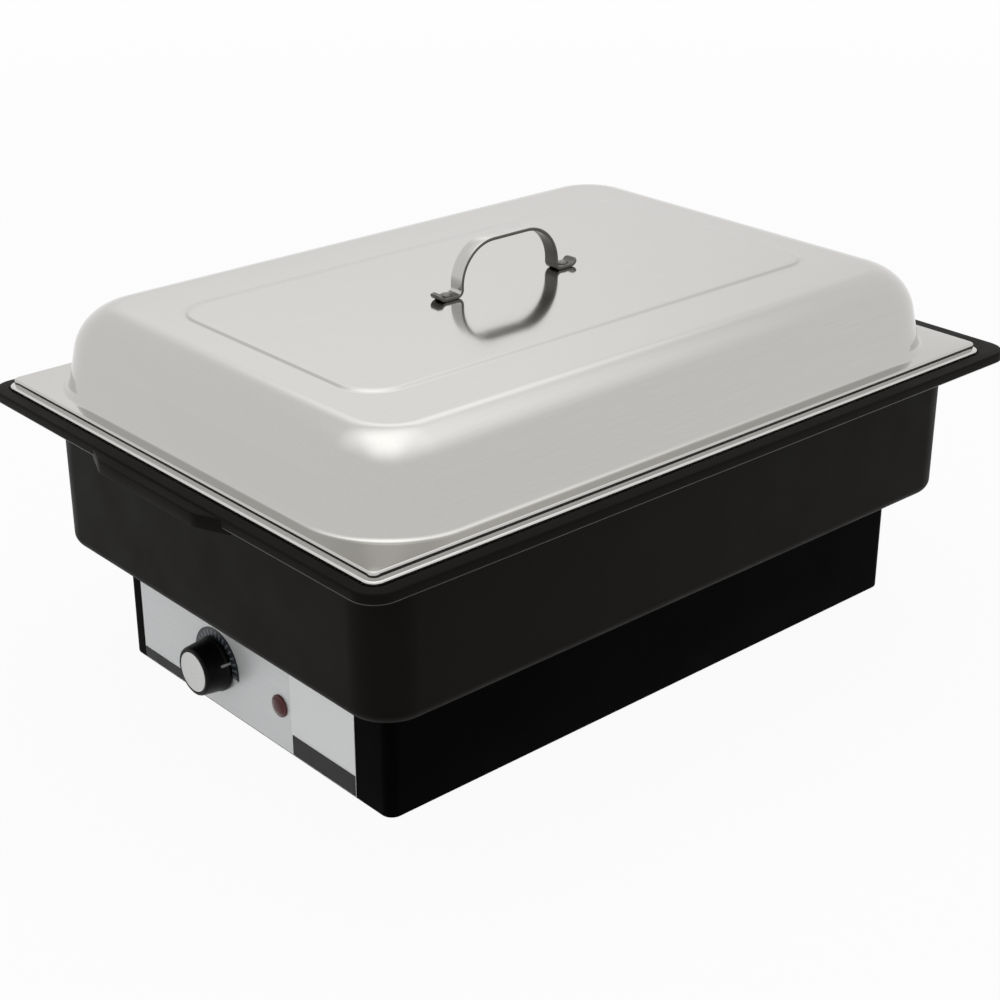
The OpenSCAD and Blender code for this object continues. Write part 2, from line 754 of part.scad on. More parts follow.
module bulb_clip() {
  outer_w = bulb_d + 2 * bulb_clip_t + 2 * hole_gap;
  low = bulb_z - bulb_d / 2 - hole_gap;
  start = bulb_start_x + bulb_l / 2 - bulb_clip_l / 2;
  color("silver") translate([start, bulb_y - outer_w / 2, low - bulb_clip_t])
    difference() {
      cube([bulb_clip_l, outer_w, gasket_top - low + bulb_clip_t]);
      translate([-cut, bulb_clip_t, bulb_clip_t])
        cube([bulb_clip_l + 2 * cut, outer_w - 2 * bulb_clip_t, gasket_top - low + cut]);
    }
}

module capillary_tube() {
  drop_x = capillary_drop_x;
  run_y = knob_y + tap_out;
  color("#b87333") bent_tube([[bulb_start_x, bulb_y, bulb_z], [drop_x, bulb_y, bulb_z],
    [drop_x, bulb_y, capillary_z], [drop_x, run_y, capillary_z], [thermostat_back_x, run_y, capillary_z]],
    capillary_d, 2 * wire_bend);
}

module heater_plate() {
  color("#b9bbbd") {
    rounded_plate(heater_l, heater_w, heater_r, gasket_top, heater_t);
    for (p = stud_spots)
      translate([p[0], p[1], shield_top - shield_t - nut_h - stud_tail])
        cylinder(d = stud_d, h = gasket_top - shield_top + shield_t + nut_h + stud_tail + heater_t / 2);
  }
}

module heater_gasket() {
  color("#7a2f25") difference() {
    rounded_plate(heater_l, heater_w, heater_r, tub_floor_z, gasket_t);
    rounded_plate(opening_l, opening_w, opening_r, tub_floor_z - cut, gasket_t + 2 * cut);
    for (p = stud_spots)
      translate([p[0], p[1], tub_floor_z - cut]) cylinder(d = stud_hole_d, h = gasket_t + 2 * cut);
  }
}

module heater_nuts() {
  color("silver") for (p = stud_spots)
    translate([p[0], p[1], shield_top - shield_t - nut_h]) difference() {
      cylinder(d = 2 * stud_d, h = nut_h, $fn = 6);
      translate([0, 0, -cut]) cylinder(d = stud_d + 2 * running_gap, h = nut_h + 2 * cut);
    }
}

module heating_element() {
  color("#4c4a47") {
    for (s = [-1, 1]) {
      bent_tube([[element_front_x, s * element_r, element_z], [element_leg_x, s * element_r, element_z],
        [element_leg_x, s * element_r, element_end_z]], element_d, element_elbow_r);
      translate([element_leg_x, s * element_r, pin_z]) cylinder(d = pin_d, h = pin_l + cut);
    }
    translate([element_front_x, 0, element_z]) rotate(-90)
      rotate_extrude(angle = 180) translate([element_r, 0]) circle(d = element_d);
  }
}

module element_clamps() {
  reach = 2 * (element_r + clamp_over);
  color("silver") for (x = clamp_spots) difference() {
    translate([x - clamp_w / 2, -reach / 2, clamp_low_z]) cube([clamp_w, reach, clamp_t]);
    translate([x, 0, clamp_low_z - cut]) cylinder(d = clamp_screw_d + 2 * hole_gap, h = clamp_t + 2 * cut);
  }
}

module clamp_screws() {
  color("silver") for (x = clamp_spots) translate([x, 0, clamp_low_z - clamp_head_h]) {
    cylinder(d = 2 * clamp_screw_d, h = clamp_head_h, $fn = 6);
    cylinder(d = clamp_screw_d, h = clamp_head_h + gasket_top - clamp_low_z);
  }
}

module heat_shield() {
  tray_l = opening_l + 2 * shield_t;
  tray_w = opening_w + 2 * shield_t;
  color("#c8cacc") difference() {
    union() {
      rounded_plate(heater_l, heater_w, heater_r, shield_top - shield_t, shield_t);
      rounded_plate(tray_l, tray_w, opening_r + shield_t, shield_z, shield_depth);
    }
    rounded_plate(opening_l, opening_w, opening_r, shield_z + shield_t, shield_depth);
    for (p = stud_spots)
      translate([p[0], p[1], shield_top - shield_t - cut])
        cylinder(d = stud_hole_d, h = shield_t + 2 * cut);
    for (s = [-1, 1])
      translate([element_leg_x, s * element_r, shield_z - cut])
        cylinder(d = element_d + 2 * hole_gap, h = shield_t + 2 * cut);
    translate([capillary_drop_x, bulb_y, shield_z - cut])
      cylinder(d = capillary_d + 2 * wire_hole_gap, h = shield_t + 2 * cut);
    translate([earth_x, earth_y, shield_z - cut])
      cylinder(d = screw_hole_d, h = shield_t + 2 * cut);
  }
}

module thermal_cutout() {
  flange_t = 1.5;
  color("#8a6f4d") {
    translate([cutout_x, cutout_y, cutout_low_z]) cylinder(d = cutout_d, h = cutout_h);
    translate([cutout_x - cutout_d / 2, cutout_y - cutout_d / 2 - cutout_ear / 2, shield_z - flange_t])
      cube([cutout_d, cutout_d + cutout_ear, flange_t]);
  }
}

module terminal_block() {
  color("#e6e1d2") difference() {
    translate([block_x - block_l / 2, -block_w / 2, cover_top]) cube([block_l, block_w, block_h]);
    for (i = [-1 : 1]) {
      rod_x(block_x - block_l / 2 - cut, i * pole_pitch, pole_z, wire_d + 2 * hole_gap, pole_depth + cut);
      translate([block_x, i * pole_pitch, pole_z + wire_d]) cylinder(d = screw_hole_d, h = block_h);
    }
  }
}

module terminal_screws() {
  color("#c9a94f") for (i = [-1 : 1])
    translate([block_x, i * pole_pitch, pole_z + wire_d])
      cylinder(d = screw_d, h = cover_top + block_h - pole_z - wire_d - cut);
}

module earth_stud() {
  color("#c9a94f") translate([earth_x, earth_y, shield_z - earth_l]) {
    cylinder(d = screw_d, h = earth_l + shield_t);
    translate([0, 0, earth_l - nut_h]) cylinder(d = 2 * screw_d, h = nut_h, $fn = 6);
    translate([0, 0, earth_l + shield_t]) cylinder(d = 2 * screw_d, h = cut);
  }
}

module live_wire() {
  turn_x = thermostat_back_x + wire_lead;
  tap_y = knob_y + tap_out;
  color("#6b4a2b") bent_tube([[pole_end_x, pole_pitch, pole_z], [turn_x, pole_pitch, pole_z],
    [turn_x, pole_pitch, live_z], [turn_x, tap_y, live_z], [thermostat_back_x, tap_y, live_z]],
    wire_d, wire_bend);
}

module switched_wire() {
  turn_x = element_leg_x + wire_hop;
  tap_y = knob_y - tap_in;
  color("#1e1e1e") bent_tube([[thermostat_back_x, tap_y, switched_z], [turn_x, tap_y, switched_z],
    [turn_x, cutout_y, switched_z], [turn_x, cutout_y, cutout_wire_z],
    [cutout_x - cutout_d / 2, cutout_y, cutout_wire_z]], wire_d, wire_bend);
}

module heater_wire() {
  cutout_end_x = cutout_x + cutout_d / 2;
  turn_x = cutout_end_x + wire_hop;
  color("#1e1e1e") bent_tube([[cutout_end_x, cutout_y, cutout_wire_z], [turn_x, cutout_y, cutout_wire_z],
    [turn_x, cutout_y, pin_wire_z], [turn_x, element_r, pin_wire_z],
    [element_leg_x + pin_d / 2, element_r, pin_wire_z]], wire_d, wire_bend);
}

module neutral_wire() {
  turn_x = earth_x;
  side_y = -element_r / 2;
  color("#2f5fa8") bent_tube([[pole_end_x, 0, pole_z], [turn_x, 0, pole_z], [turn_x, side_y, pole_z],
    [turn_x, side_y, pin_wire_z], [0, side_y, pin_wire_z], [0, -element_r, pin_wire_z],
    [element_leg_x + pin_d / 2, -element_r, pin_wire_z]], wire_d, wire_bend);
}

module earth_wire() {
  turn_x = earth_x + earth_far;
  run_z = shield_z - earth_l / 2 - nut_h / 2;
  color("#7fae3a") bent_tube([[pole_end_x, -pole_pitch, pole_z], [turn_x, -pole_pitch, pole_z],
    [turn_x, -pole_pitch, run_z], [turn_x, earth_y, run_z], [earth_x + screw_d / 2, earth_y, run_z]],
    wire_d, wire_bend);
}

module lamp_wires() {
  near_y = lamp_y + wire_d;
  far_y = lamp_y - wire_d;
  turn_x = lamp_back_x + wire_lead;
  far_x = lamp_back_x + lamp_far;
  tap_y = knob_y - tap_lamp;
  round_y = -element_r - wire_hop;
  color("#b5b1a6") {
    bent_tube([[lamp_back_x, near_y, lamp_z], [turn_x, near_y, lamp_z], [turn_x, tap_y, lamp_z],
      [thermostat_back_x, tap_y, lamp_z]], wire_d, wire_bend);
    bent_tube([[lamp_back_x, far_y, lamp_z], [far_x, far_y, lamp_z], [far_x, far_y, pin_wire_z],
      [far_x, round_y, pin_wire_z], [element_leg_x, round_y, pin_wire_z],
      [element_leg_x, -element_r - pin_d / 2, pin_wire_z]], wire_d, wire_bend);
  }
}

module cord_gland() {
  color("#1d1d1d") difference() {
    union() {
      rod_x(end_x - base_wall - gland_nut_t - gland_tail, 0, gland_z, gland_d,
        base_wall + gland_nut_t + gland_tail + cut);
      translate([end_x, 0, gland_z]) rotate([0, 90, 0])
        cylinder(d = 1.5 * gland_d, h = gland_hex_t, $fn = 6);
      rod_x(end_x + gland_hex_t, 0, gland_z, 1.2 * gland_d, gland_cap_l);
    }
    rod_x(end_x - 2 * gland_d, 0, gland_z, gland_bore_d, 4 * gland_d);
  }
}

module gland_nut() {
  color("#1d1d1d") difference() {
    translate([end_x - base_wall - gland_nut_t, 0, gland_z]) rotate([0, 90, 0])
      cylinder(d = 1.5 * gland_d, h = gland_nut_t, $fn = 6);
    rod_x(end_x - base_wall - gland_nut_t - cut, 0, gland_z,
      gland_d + 2 * running_gap, gland_nut_t + 2 * cut);
  }
}

module knob_body() {
  front = knob_gap + knob_l;
  color("#161616") on_knob_axis() difference() {
    translate([0, 0, knob_gap]) cylinder(d1 = knob_d, d2 = knob_front_d, h = knob_l);
    difference() {
      cylinder(d = knob_d - 2 * knob_wall, h = knob_gap + knob_cavity);
      cylinder(d = hub_d, h = front);
    }
    cylinder(d = shaft_d + 2 * running_gap, h = knob_gap + shaft_out + running_gap);
    translate([0, 0, front - cap_recess]) cylinder(d = knob_cap_d + 2 * running_gap, h = cap_t + cut);
    rotate(-pointer_angle) translate([knob_d / 2 - pointer_t, -pointer_w / 2 - running_gap, 0])
      cube([2 * pointer_t, pointer_w + 2 * running_gap, knob_gap + pointer_l + running_gap]);
  }
}

module knob_cap() {
  color("#d0d0ce") on_knob_axis()
    translate([0, 0, knob_gap + knob_l - cap_recess]) cylinder(d = knob_cap_d, h = cap_t);
}

module knob_pointer() {
  color("white") on_knob_axis() rotate(-pointer_angle)
    translate([knob_d / 2 - pointer_t, -pointer_w / 2, knob_gap]) cube([pointer_t, pointer_w, pointer_l]);
}

module thermostat_shaft() {
  inside = thermostat_depth / 2 - shaft_end_gap;
  color("silver") rod_x(panel_face_x - knob_gap - shaft_out, knob_y, knob_z, shaft_d,
    shaft_out + knob_gap + panel_proud + base_wall + inside);
}

module food_pan() {
  color("#c9c8c4") translate([-pan_shift, 0, 0]) difference() {
    union() {
      difference() {
        rounded_plate(flange_l, flange_w, flange_r, ledge_z, pan_edge_h);
        rounded_plate(flange_l - 2 * sheet_t, flange_w - 2 * sheet_t, flange_r - sheet_t,
          ledge_z - cut, pan_edge_h - sheet_t + cut);
      }
      swept_block(pan_l, pan_w, pan_r, pan_floor_z, pan_top)
        basin_profile(pan_r, pan_fillet, pan_draw, pan_floor_z, pan_top);
    }
    swept_block(pan_l - 2 * sheet_t, pan_w - 2 * sheet_t, pan_r - sheet_t,
      pan_floor_z + sheet_t, pan_top + cut)
      basin_profile(pan_r - sheet_t, pan_fillet - sheet_t, pan_draw, pan_floor_z + sheet_t, pan_top + cut);
  }
}

// Pressed sheet of the lid, before it is drilled
module lid_sheet() {
  difference() {
    union() {
      rounded_plate(lid_l, lid_w, lid_edge_r, pan_top, lid_edge_h);
      swept_block(dome_l, dome_w, dome_r, lid_flange_z, dome_top)
        dome_profile(dome_r, shoulder_r, lid_flange_z, dome_top);
      rounded_plate(crown_l, crown_w, crown_r, dome_top - cut, crown_h + cut);
    }
    rounded_plate(lid_l - 2 * sheet_t, lid_w - 2 * sheet_t, lid_edge_r - sheet_t,
      pan_top - cut, lid_edge_h - sheet_t + cut);
    swept_block(dome_l - 2 * sheet_t, dome_w - 2 * sheet_t, dome_r - sheet_t,
      lid_flange_z - 2 * sheet_t, dome_top - sheet_t)
      dome_profile(dome_r - sheet_t, shoulder_r - sheet_t, lid_flange_z - 2 * sheet_t, dome_top - sheet_t);
    rounded_plate(crown_l - 2 * sheet_t, crown_w - 2 * sheet_t, crown_r - sheet_t,
      dome_top - sheet_t - cut, crown_h + cut);
  }
}

module lid_shell() {
  color("#c8c6c0") difference() {
    translate([-pan_shift, 0, 0]) lid_sheet();
    at_rivets(dome_top - cut) cylinder(d = rivet_d + 2 * running_gap, h = crown_h + 2 * cut);
  }
}

// Bend of the handle's strap about a point in the side view
module strap_bend(x, z, mid_r, start) {
  past = strap_join / 2 / mid_r * 180 / PI;
  translate([x, 0, z]) rotate([90, 0, 0]) rotate(start - past) rotate_extrude(angle = 90 + 2 * past)
    translate([mid_r, 0]) square([handle_t - 2 * ease, handle_w - 2 * ease], center = true);
}

// Flat foot of the handle with its turned-up tip, in the side view
module handle_foot() {
  tip_foot = handle_t * tan(handle_tip_angle / 2);
  tip_along = handle_tip_l * [cos(handle_tip_angle), sin(handle_tip_angle)];
  tip_across = handle_t * [-sin(handle_tip_angle), cos(handle_tip_angle)];
  corner = [foot_end_x, crown_z];
  polygon([[bend_x - strap_join, crown_z], corner, corner + tip_along, corner + tip_along + tip_across,
    corner + [-tip_foot, handle_t], [bend_x - strap_join, crown_z + handle_t]]);
}

// One half of the handle, from the middle of its grip to a turned-up tip
module handle_half() {
  translate([-strap_join, -handle_w / 2, crown_z + handle_h - handle_t])
    cube([corner_x + 2 * strap_join, handle_w, handle_t]);
  strap_bend(corner_x, corner_z, handle_corner_r - handle_t / 2, 0);
  translate([leg_x - handle_t / 2, -handle_w / 2, bend_z - strap_join])
    cube([handle_t, handle_w, corner_z - bend_z + 2 * strap_join]);
  strap_bend(bend_x, bend_z, handle_bend_r, 180);
  rotate([90, 0, 0]) linear_extrude(handle_w, center = true) handle_foot();
}

// Sets a piece at both of the handle's rivets
module at_rivets(z) {
  for (side = [-1, 1])
    translate([side * rivet_x - pan_shift, 0, z]) children();
}

module lid_handle() {
  color("#b4b3af") difference() {
    translate([-pan_shift, 0, 0])
      for (m = [0, 1]) mirror([m, 0, 0]) handle_half();
    at_rivets(crown_z - cut) cylinder(d = rivet_d + 2 * running_gap, h = handle_t + 2 * cut);
  }
}

module handle_rivets() {
  low = crown_z - sheet_t - washer_t;
  color("#b4b3af") at_rivets(low) {
    translate([0, 0, -rivet_head_h]) cylinder(d = rivet_head_d, h = rivet_head_h);
    cylinder(d = rivet_d, h = crown_z - low + handle_t);
    translate([0, 0, crown_z - low + handle_t]) cylinder(d1 = rivet_head_d, d2 = rivet_d, h = rivet_head_h);
  }
}

module rivet_washers() {
  washer_d = 3 * rivet_d;
  color("silver") at_rivets(crown_z - sheet_t - washer_t) difference() {
    cylinder(d = washer_d, h = washer_t);
    translate([0, 0, -cut]) cylinder(d = rivet_d + 2 * running_gap, h = washer_t + 2 * cut);
  }
}

water_tub();
base_plinth();
bottom_cover();
rubber_feet();
cover_screws();
tub_screws();
control_panel();
dial_scale();
dark_bands();
lamp_lens();
lamp_body();
lamp_nut();
thermostat_body();
thermostat_screws();
sensor_bulb();
bulb_clip();
capillary_tube();
heater_plate();
heater_gasket();
heater_nuts();
heating_element();
element_clamps();
clamp_screws();
heat_shield();
thermal_cutout();
terminal_block();
terminal_screws();
earth_stud();
live_wire();
switched_wire();
heater_wire();
neutral_wire();
earth_wire();
lamp_wires();
cord_gland();
gland_nut();
knob_body();
knob_cap();
knob_pointer();
thermostat_shaft();
food_pan();
lid_shell();
lid_handle();
handle_rivets();
rivet_washers();
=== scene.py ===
import math

import bmesh
import bpy
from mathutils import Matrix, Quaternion, Vector


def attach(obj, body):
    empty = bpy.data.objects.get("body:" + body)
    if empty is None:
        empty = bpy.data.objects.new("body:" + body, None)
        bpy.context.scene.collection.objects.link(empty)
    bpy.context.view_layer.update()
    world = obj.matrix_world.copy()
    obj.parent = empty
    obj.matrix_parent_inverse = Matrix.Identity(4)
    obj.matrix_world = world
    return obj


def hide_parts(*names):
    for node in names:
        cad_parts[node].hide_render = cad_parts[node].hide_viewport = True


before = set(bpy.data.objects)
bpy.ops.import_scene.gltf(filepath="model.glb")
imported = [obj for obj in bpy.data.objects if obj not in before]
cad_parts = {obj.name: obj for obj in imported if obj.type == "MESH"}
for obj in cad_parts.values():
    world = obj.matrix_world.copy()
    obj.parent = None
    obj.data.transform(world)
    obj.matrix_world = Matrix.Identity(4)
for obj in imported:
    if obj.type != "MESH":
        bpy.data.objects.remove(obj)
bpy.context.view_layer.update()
MM = 0.001

# Sizes in millimetres, as in the part's source. L, W and R are the length, width and corner radius of a
# rounded outline, X is its shift along the dish, and heights are above the table.

# Sheet steel and the food pan
STEEL_X, SHEET_T, HEM_R = -5.5, 1.0, 1.2
FLANGE_L, FLANGE_W, FLANGE_R = 530.0, 384.0, 8.0
LEDGE_Z, PAN_TOP = 192.3, 195.5
PAN_L, PAN_W, PAN_R, PAN_FLOOR, PAN_DRAW = 471.4, 323.0, 48.0, 130.5, 5.0
PAN_FILLET, PAN_LIP = 13.0, 3.0

# Lid: hem, dome and pressed crown
LID_L, LID_W, LID_R, LID_Z = 524.0, 378.0, 5.0, 199.7
DOME_FOOT, DOME_R, DOME_TOP, FOOT_FILLET = 11.0, 58.0, 252.7, 5.0
LEAN, SHOULDER = math.radians(12.0), 34.0
CROWN_L, CROWN_W, CROWN_R, CROWN_Z = 386.0, 198.0, 26.0, 253.9
# Insets between which the lid's outline turns from the hem's small corners to the dome's wide ones
HEM_END, BEND_START, BEND_CORNER_R = 1.3, DOME_FOOT - 5.0, DOME_R + 4.0
# Inside of the lid: bend under the hem, inset of the dome's sheet, and the first profile point it follows
HEM_INSIDE, DOME_INSIDE, INSIDE_START = 1.6, 0.9, 8
# Growth of the crown's outline and share of its height, across the pressed step and a little way in
CROWN_STEP = ((6.0, 0.0), (2.2, 0.0), (1.5, 0.12), (0.3, 0.88), (-0.4, 1.0), (-5.0, 1.0))
# Shares of the crown's size, for the outlines on its flat top
CROWN_FAN = (0.8, 0.6, 0.4, 0.2)

# Handle: a strap on two feet whose tips curl up, and the washers of its rivets
HANDLE_SPAN, HANDLE_W, HANDLE_T, HANDLE_H = 85.0, 11.0, 2.5, 35.0
HANDLE_CORNER_R, HANDLE_EDGE_R, HANDLE_FOOT, BEND_R, BEND_FLAT = 28.0, 0.8, 11.0, 4.0, 2.0
TIP_R, TIP_ANGLE, TIP_SETBACK, TIP_FLAT, WASHER_T = 4.6, 352.0, 1.6, 4.0, 1.0
# Share of the strap's width at the points from its curled tip
TIP_TAPER = (0.62, 0.82, 0.93, 0.98)

# Tub: rim with a seat for the pan's flange, trough, screw bosses and grip tabs
RIM_L, RIM_W, RIM_R = 560.0, 405.0, 17.0
RIM_TOP, RIM_LOW, RIM_UNDER, RIM_EDGE = 193.5, 186.8, 188.8, 3.0
RIM_TOP_R, RIM_LOW_R, RIM_UNDER_R = 1.6, 1.0, 3.0
SEAT_GAP, SEAT_EDGE = 1.0, 0.5
TUB_L, TUB_W, TUB_R, TUB_X, TUB_Z = 513.0, 347.0, 29.0, 3.3, 86.5
TUB_WALL, TUB_FLOOR_Z, TUB_FILLET, TUB_MOUTH_R = 3.5, 90.5, 8.0, 1.5
TUB_BOSS_X, BOSS_INSET = 140.0, 7.0
TAB_REACH, TAB_ROOT, TAB_FOOT_Y, TAB_FACE_Y = 7.5, 2.0, 73.0, 51.0
TAB_WALL, TAB_DROP, TAB_PLATE_T, TAB_MID_Y = 3.0, 8.7, 3.5, 30.0
TAB_TOP_INSET, TAB_UNDER_INSET = 1.5, 5.5

# Base with its control panel and the gland in its far end
BASE_L, BASE_W, BASE_R, BASE_X, BASE_Z, BASE_WALL = 461.0, 281.0, 8.0, 8.0, 2.0, 3.0
BASE_TOP_T, BASE_SHELF, BASE_LOW_R, BASE_LEAST_R = 4.0, 14.0, 1.2, 3.0
POST_R, POST_LOW, POST_SHORT = 6.0, 5.0, 1.0
FACE_X = -222.8
KNOB_Y, KNOB_Z = 36.2, 35.5
LAMP_Y, LAMP_Z = -32.8, 33.8
RATING_PLATE_Y = LAMP_Y - 11.0
STROKES, STROKE_R = 30, 22.6
GLAND_Z, GLAND_HALF_FLAT = 34.0, 10.39

# Turned shapes, as (radius, place along the axis)
RIVET_HEAD = [(4.0, 0.0), (4.0, 0.35), (3.7, 0.8), (3.0, 1.15), (2.0, 1.36), (1.0, 1.4), (0.0, 1.4)]
RIVET_TAIL = [(0.0, -1.4), (2.0, -1.36), (3.0, -1.15), (3.7, -0.8), (4.0, -0.35), (4.0, 0.0), (2.0, 0.0),
              (2.0, 4.4)]
TUB_BOSS = [(6.0, -1.0), (6.0, 7.0), (5.6, 7.7), (5.0, 8.0), (0.0, 8.0)]
KNOB_GRIP = [(3.05, 1.2), (5.9, 1.2), (6.0, 4.8), (16.55, 4.8), (16.75, 1.2), (16.95, 0.8), (18.3, 0.8),
             (18.6, 1.1), (18.6, 3.2), (18.4, 3.6), (18.1, 3.9), (17.95, 4.4), (16.65, 16.2), (16.45, 17.4),
             (16.1, 18.2), (15.4, 18.7), (14.6, 18.8), (13.65, 18.65), (13.55, 18.0), (0.0, 18.0)]
KNOB_DISC = [(13.5, 18.0), (13.5, 18.7), (13.3, 18.95), (12.9, 19.0), (12.2, 18.98), (11.7, 18.85),
             (11.3, 18.8), (7.0, 18.8), (0.0, 18.8)]
LAMP_JEWEL = [(7.5, 0.0), (7.5, 0.9), (7.35, 1.25), (6.9, 1.4), (6.3, 1.4), (6.05, 1.55), (5.6, 2.0),
              (4.6, 2.5), (3.2, 2.85), (1.6, 2.98), (0.0, 3.0)]
GLAND_CAP = [(4.0, 5.0), (4.0, 16.0), (6.2, 16.0), (7.0, 15.6), (8.0, 13.6), (9.2, 11.5), (9.55, 10.5),
             (9.6, 5.6), (9.2, 5.0)]
GLAND_HEXAGON = [(4.0, 5.0), (10.9, 5.0), (11.9, 4.3), (12.0, 0.6), (11.6, 0.0), (8.0, 0.0), (8.0, -10.0),
                 (4.0, -10.0)]

# Steps of a rounded outline: round each corner, along the long sides and along the short ones
CORNER_STEPS, LONG_STEPS, SHORT_STEPS = 20, 16, 12
# Points of a turned shape that lie this close together, in metres, become one
MERGE_DISTANCE = 1e-7
# Outlines that lie inside a flat floor, so that its faces stay even, and heights that split the base's wall
PAN_PATCH, TUB_PATCH_L, TUB_PATCH_W, PATCH_R = 0.45, 200.0, 100.0, 20.0
BASE_BANDS = (60.0, 30.0)

# Stage: the floor is part plain white near the dish, all white far out, where it meets the background
FLOOR_SIZE, FLOOR_GREY, FLOOR_WHITE_NEAR, FLOOR_NEAR, FLOOR_FAR = 6.0, 0.86, 0.94, 0.9, 3.0
WORLD_LIGHT = 0.45
# Distances from a softbox's middle, as shares of its size, between which its light fades out
FADE_START, FADE_END = 0.08, 0.5
# Name, place, aim, size, power, whether the steel mirrors it, turn about its own axis in degrees
SOFTBOXES = [
    ("top_softbox", (0.3, 0.2, 2.1), (0.3, 0.2, 0.0), (4.2, 4.0), 32.0, True, 0.0),
    ("corner_softbox", (-0.22, 0.1, 2.0), (-0.22, 0.1, 0.0), (3.2, 1.6), 6.0, True, 48.0),
    ("left_softbox", (-2.1, -0.6, 1.3), (0, 0, 0.15), (2.6, 2.2), 13.0, False, 0.0),
    ("front_softbox", (0.6, -2.3, 1.4), (0, 0, 0.12), (3.0, 2.0), 12.0, False, 0.0),
    ("rear_softbox", (1.54, 2.2, 1.75), (0, 0, 0.2), (3.0, 2.2), 5.0, True, 0.0),
    ("ridge_softbox", (1.5, 1.75, 2.05), (0, 0, 0.25), (2.4, 0.9), 3.0, True, 0.0),
]
CAMERA_PLACE, CAMERA_AIM = Vector((-0.81709, -0.90469, 0.65641)), Vector((-0.0092, 0.0011, 0.09774))
CAMERA_LENS, CAMERA_SENSOR, CAMERA_CLIP = 69.97, 36.0, 0.01


def rounded_loop(l, w, r, z, cx=0.0):
    """Points of a rounded rectangle at height z, counter-clockwise from the +X side."""
    hx, hy = l / 2 - r, w / 2 - r
    pts = []
    corners = [(hx, hy, 0), (-hx, hy, 90), (-hx, -hy, 180), (hx, -hy, 270)]
    for i, (x, y, a0) in enumerate(corners):
        for k in range(CORNER_STEPS + 1):
            a = math.radians(a0 + 90.0 * k / CORNER_STEPS)
            pts.append((x + r * math.cos(a), y + r * math.sin(a)))
        nx, ny, na = corners[(i + 1) % 4]
        a = math.radians(na)
        start, end = pts[-1], (nx + r * math.cos(a), ny + r * math.sin(a))
        steps = LONG_STEPS if i % 2 == 0 else SHORT_STEPS
        for k in range(1, steps):
            t = k / steps
            pts.append((start[0] + (end[0] - start[0]) * t, start[1] + (end[1] - start[1]) * t))
    return [Vector(((cx + x) * MM, y * MM, z * MM)) for x, y in pts]


def arc(cx, cy, r, a0, a1, n):
    """Points on an arc in degrees, both ends included."""
    return [(cx + r * math.cos(math.radians(a0 + (a1 - a0) * k / n)),
             cy + r * math.sin(math.radians(a0 + (a1 - a0) * k / n))) for k in range(n + 1)]


def along(path):
    """Each point of a path with the direction of the path there."""
    for i, (x, y) in enumerate(path):
        a, b = path[max(i - 1, 0)], path[min(i + 1, len(path) - 1)]
        dx, dy = b[0] - a[0], b[1] - a[1]
        n = math.hypot(dx, dy)
        yield x, y, dx / n, dy / n


def piece(name, bm, material, body, replaces=(), smooth=35.0, second=None):
    """Turns a bmesh into an object of the part that rides on a body."""
    bmesh.ops.recalc_face_normals(bm, faces=bm.faces)
    mesh = bpy.data.meshes.new(name)
    bm.to_mesh(mesh)
    bm.free()
    obj = bpy.data.objects.new(name, mesh)
    bpy.context.scene.collection.objects.link(obj)
    mesh.materials.append(material)
    if second is not None:
        mesh.materials.append(second)
    for p in mesh.polygons:
        p.use_smooth = True
    mesh.set_sharp_from_angle(angle=math.radians(smooth))
    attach(obj, body)
    if replaces:
        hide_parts(*replaces)


def add_strips(bm, a, b):
    """Quads between two open rows of points."""
    for i in range(len(a) - 1):
        bm.faces.new((a[i], a[i + 1], b[i + 1], b[i]))


def add_loops(bm, loops, cap_start=False, cap_end=False, closed=False):
    """Quads between successive loops of equal length."""
    rings = [[bm.verts.new(p) for p in loop] for loop in loops]
    pairs = list(zip(rings, rings[1:])) + ([(rings[-1], rings[0])] if closed else [])
    for a, b in pairs:
        n = len(a)
        for i in range(n):
            bm.faces.new((a[i], a[(i + 1) % n], b[(i + 1) % n], b[i]))
    if cap_start:
        bm.faces.new(list(reversed(rings[0])))
    if cap_end:
        bm.faces.new(rings[-1])


def add_lathe(bm, profile, origin, axis="-x", steps=72, flutes=0, flute_depth=0.0, flute_span=(0, 0)):
    """Revolves (radius, along) points about an axis through origin; along -x points out of the panel."""
    rings = []
    for r, h in profile:
        ring = []
        for k in range(steps):
            a = 2 * math.pi * k / steps
            rr = r
            if flutes and flute_span[0] <= h <= flute_span[1]:
                rr -= flute_depth * (0.5 - 0.5 * math.cos(flutes * a))
            c, s = rr * math.cos(a), rr * math.sin(a)
            if axis == "-x":
                p = (origin[0] - h, origin[1] - s, origin[2] + c)
            elif axis == "+x":
                p = (origin[0] + h, origin[1] + s, origin[2] + c)
            else:
                p = (origin[0] + c, origin[1] + s, origin[2] + h)
            ring.append(Vector(p) * MM)
        rings.append(ring)
    add_loops(bm, rings, cap_start=profile[0][0] > 0, cap_end=profile[-1][0] > 0)
    bmesh.ops.remove_doubles(bm, verts=bm.verts, dist=MERGE_DISTANCE)


def node_material(name):
    """New material with a principled shader: the material, its node tree and the shader."""
    m = bpy.data.materials.new(name)
    m.use_nodes = True
    t = m.node_tree
    t.nodes.clear()
    out = t.nodes.new("ShaderNodeOutputMaterial")
    b = t.nodes.new("ShaderNodeBsdfPrincipled")
    t.links.new(b.outputs["BSDF"], out.inputs["Surface"])
    return m, t, b


def object_axes(t):
    """X, Y and Z of the point on the object."""
    co = t.nodes.new("ShaderNodeTexCoord")
    sp = t.nodes.new("ShaderNodeSeparateXYZ")
    t.links.new(co.outputs["Object"], sp.inputs["Vector"])
    return sp.outputs


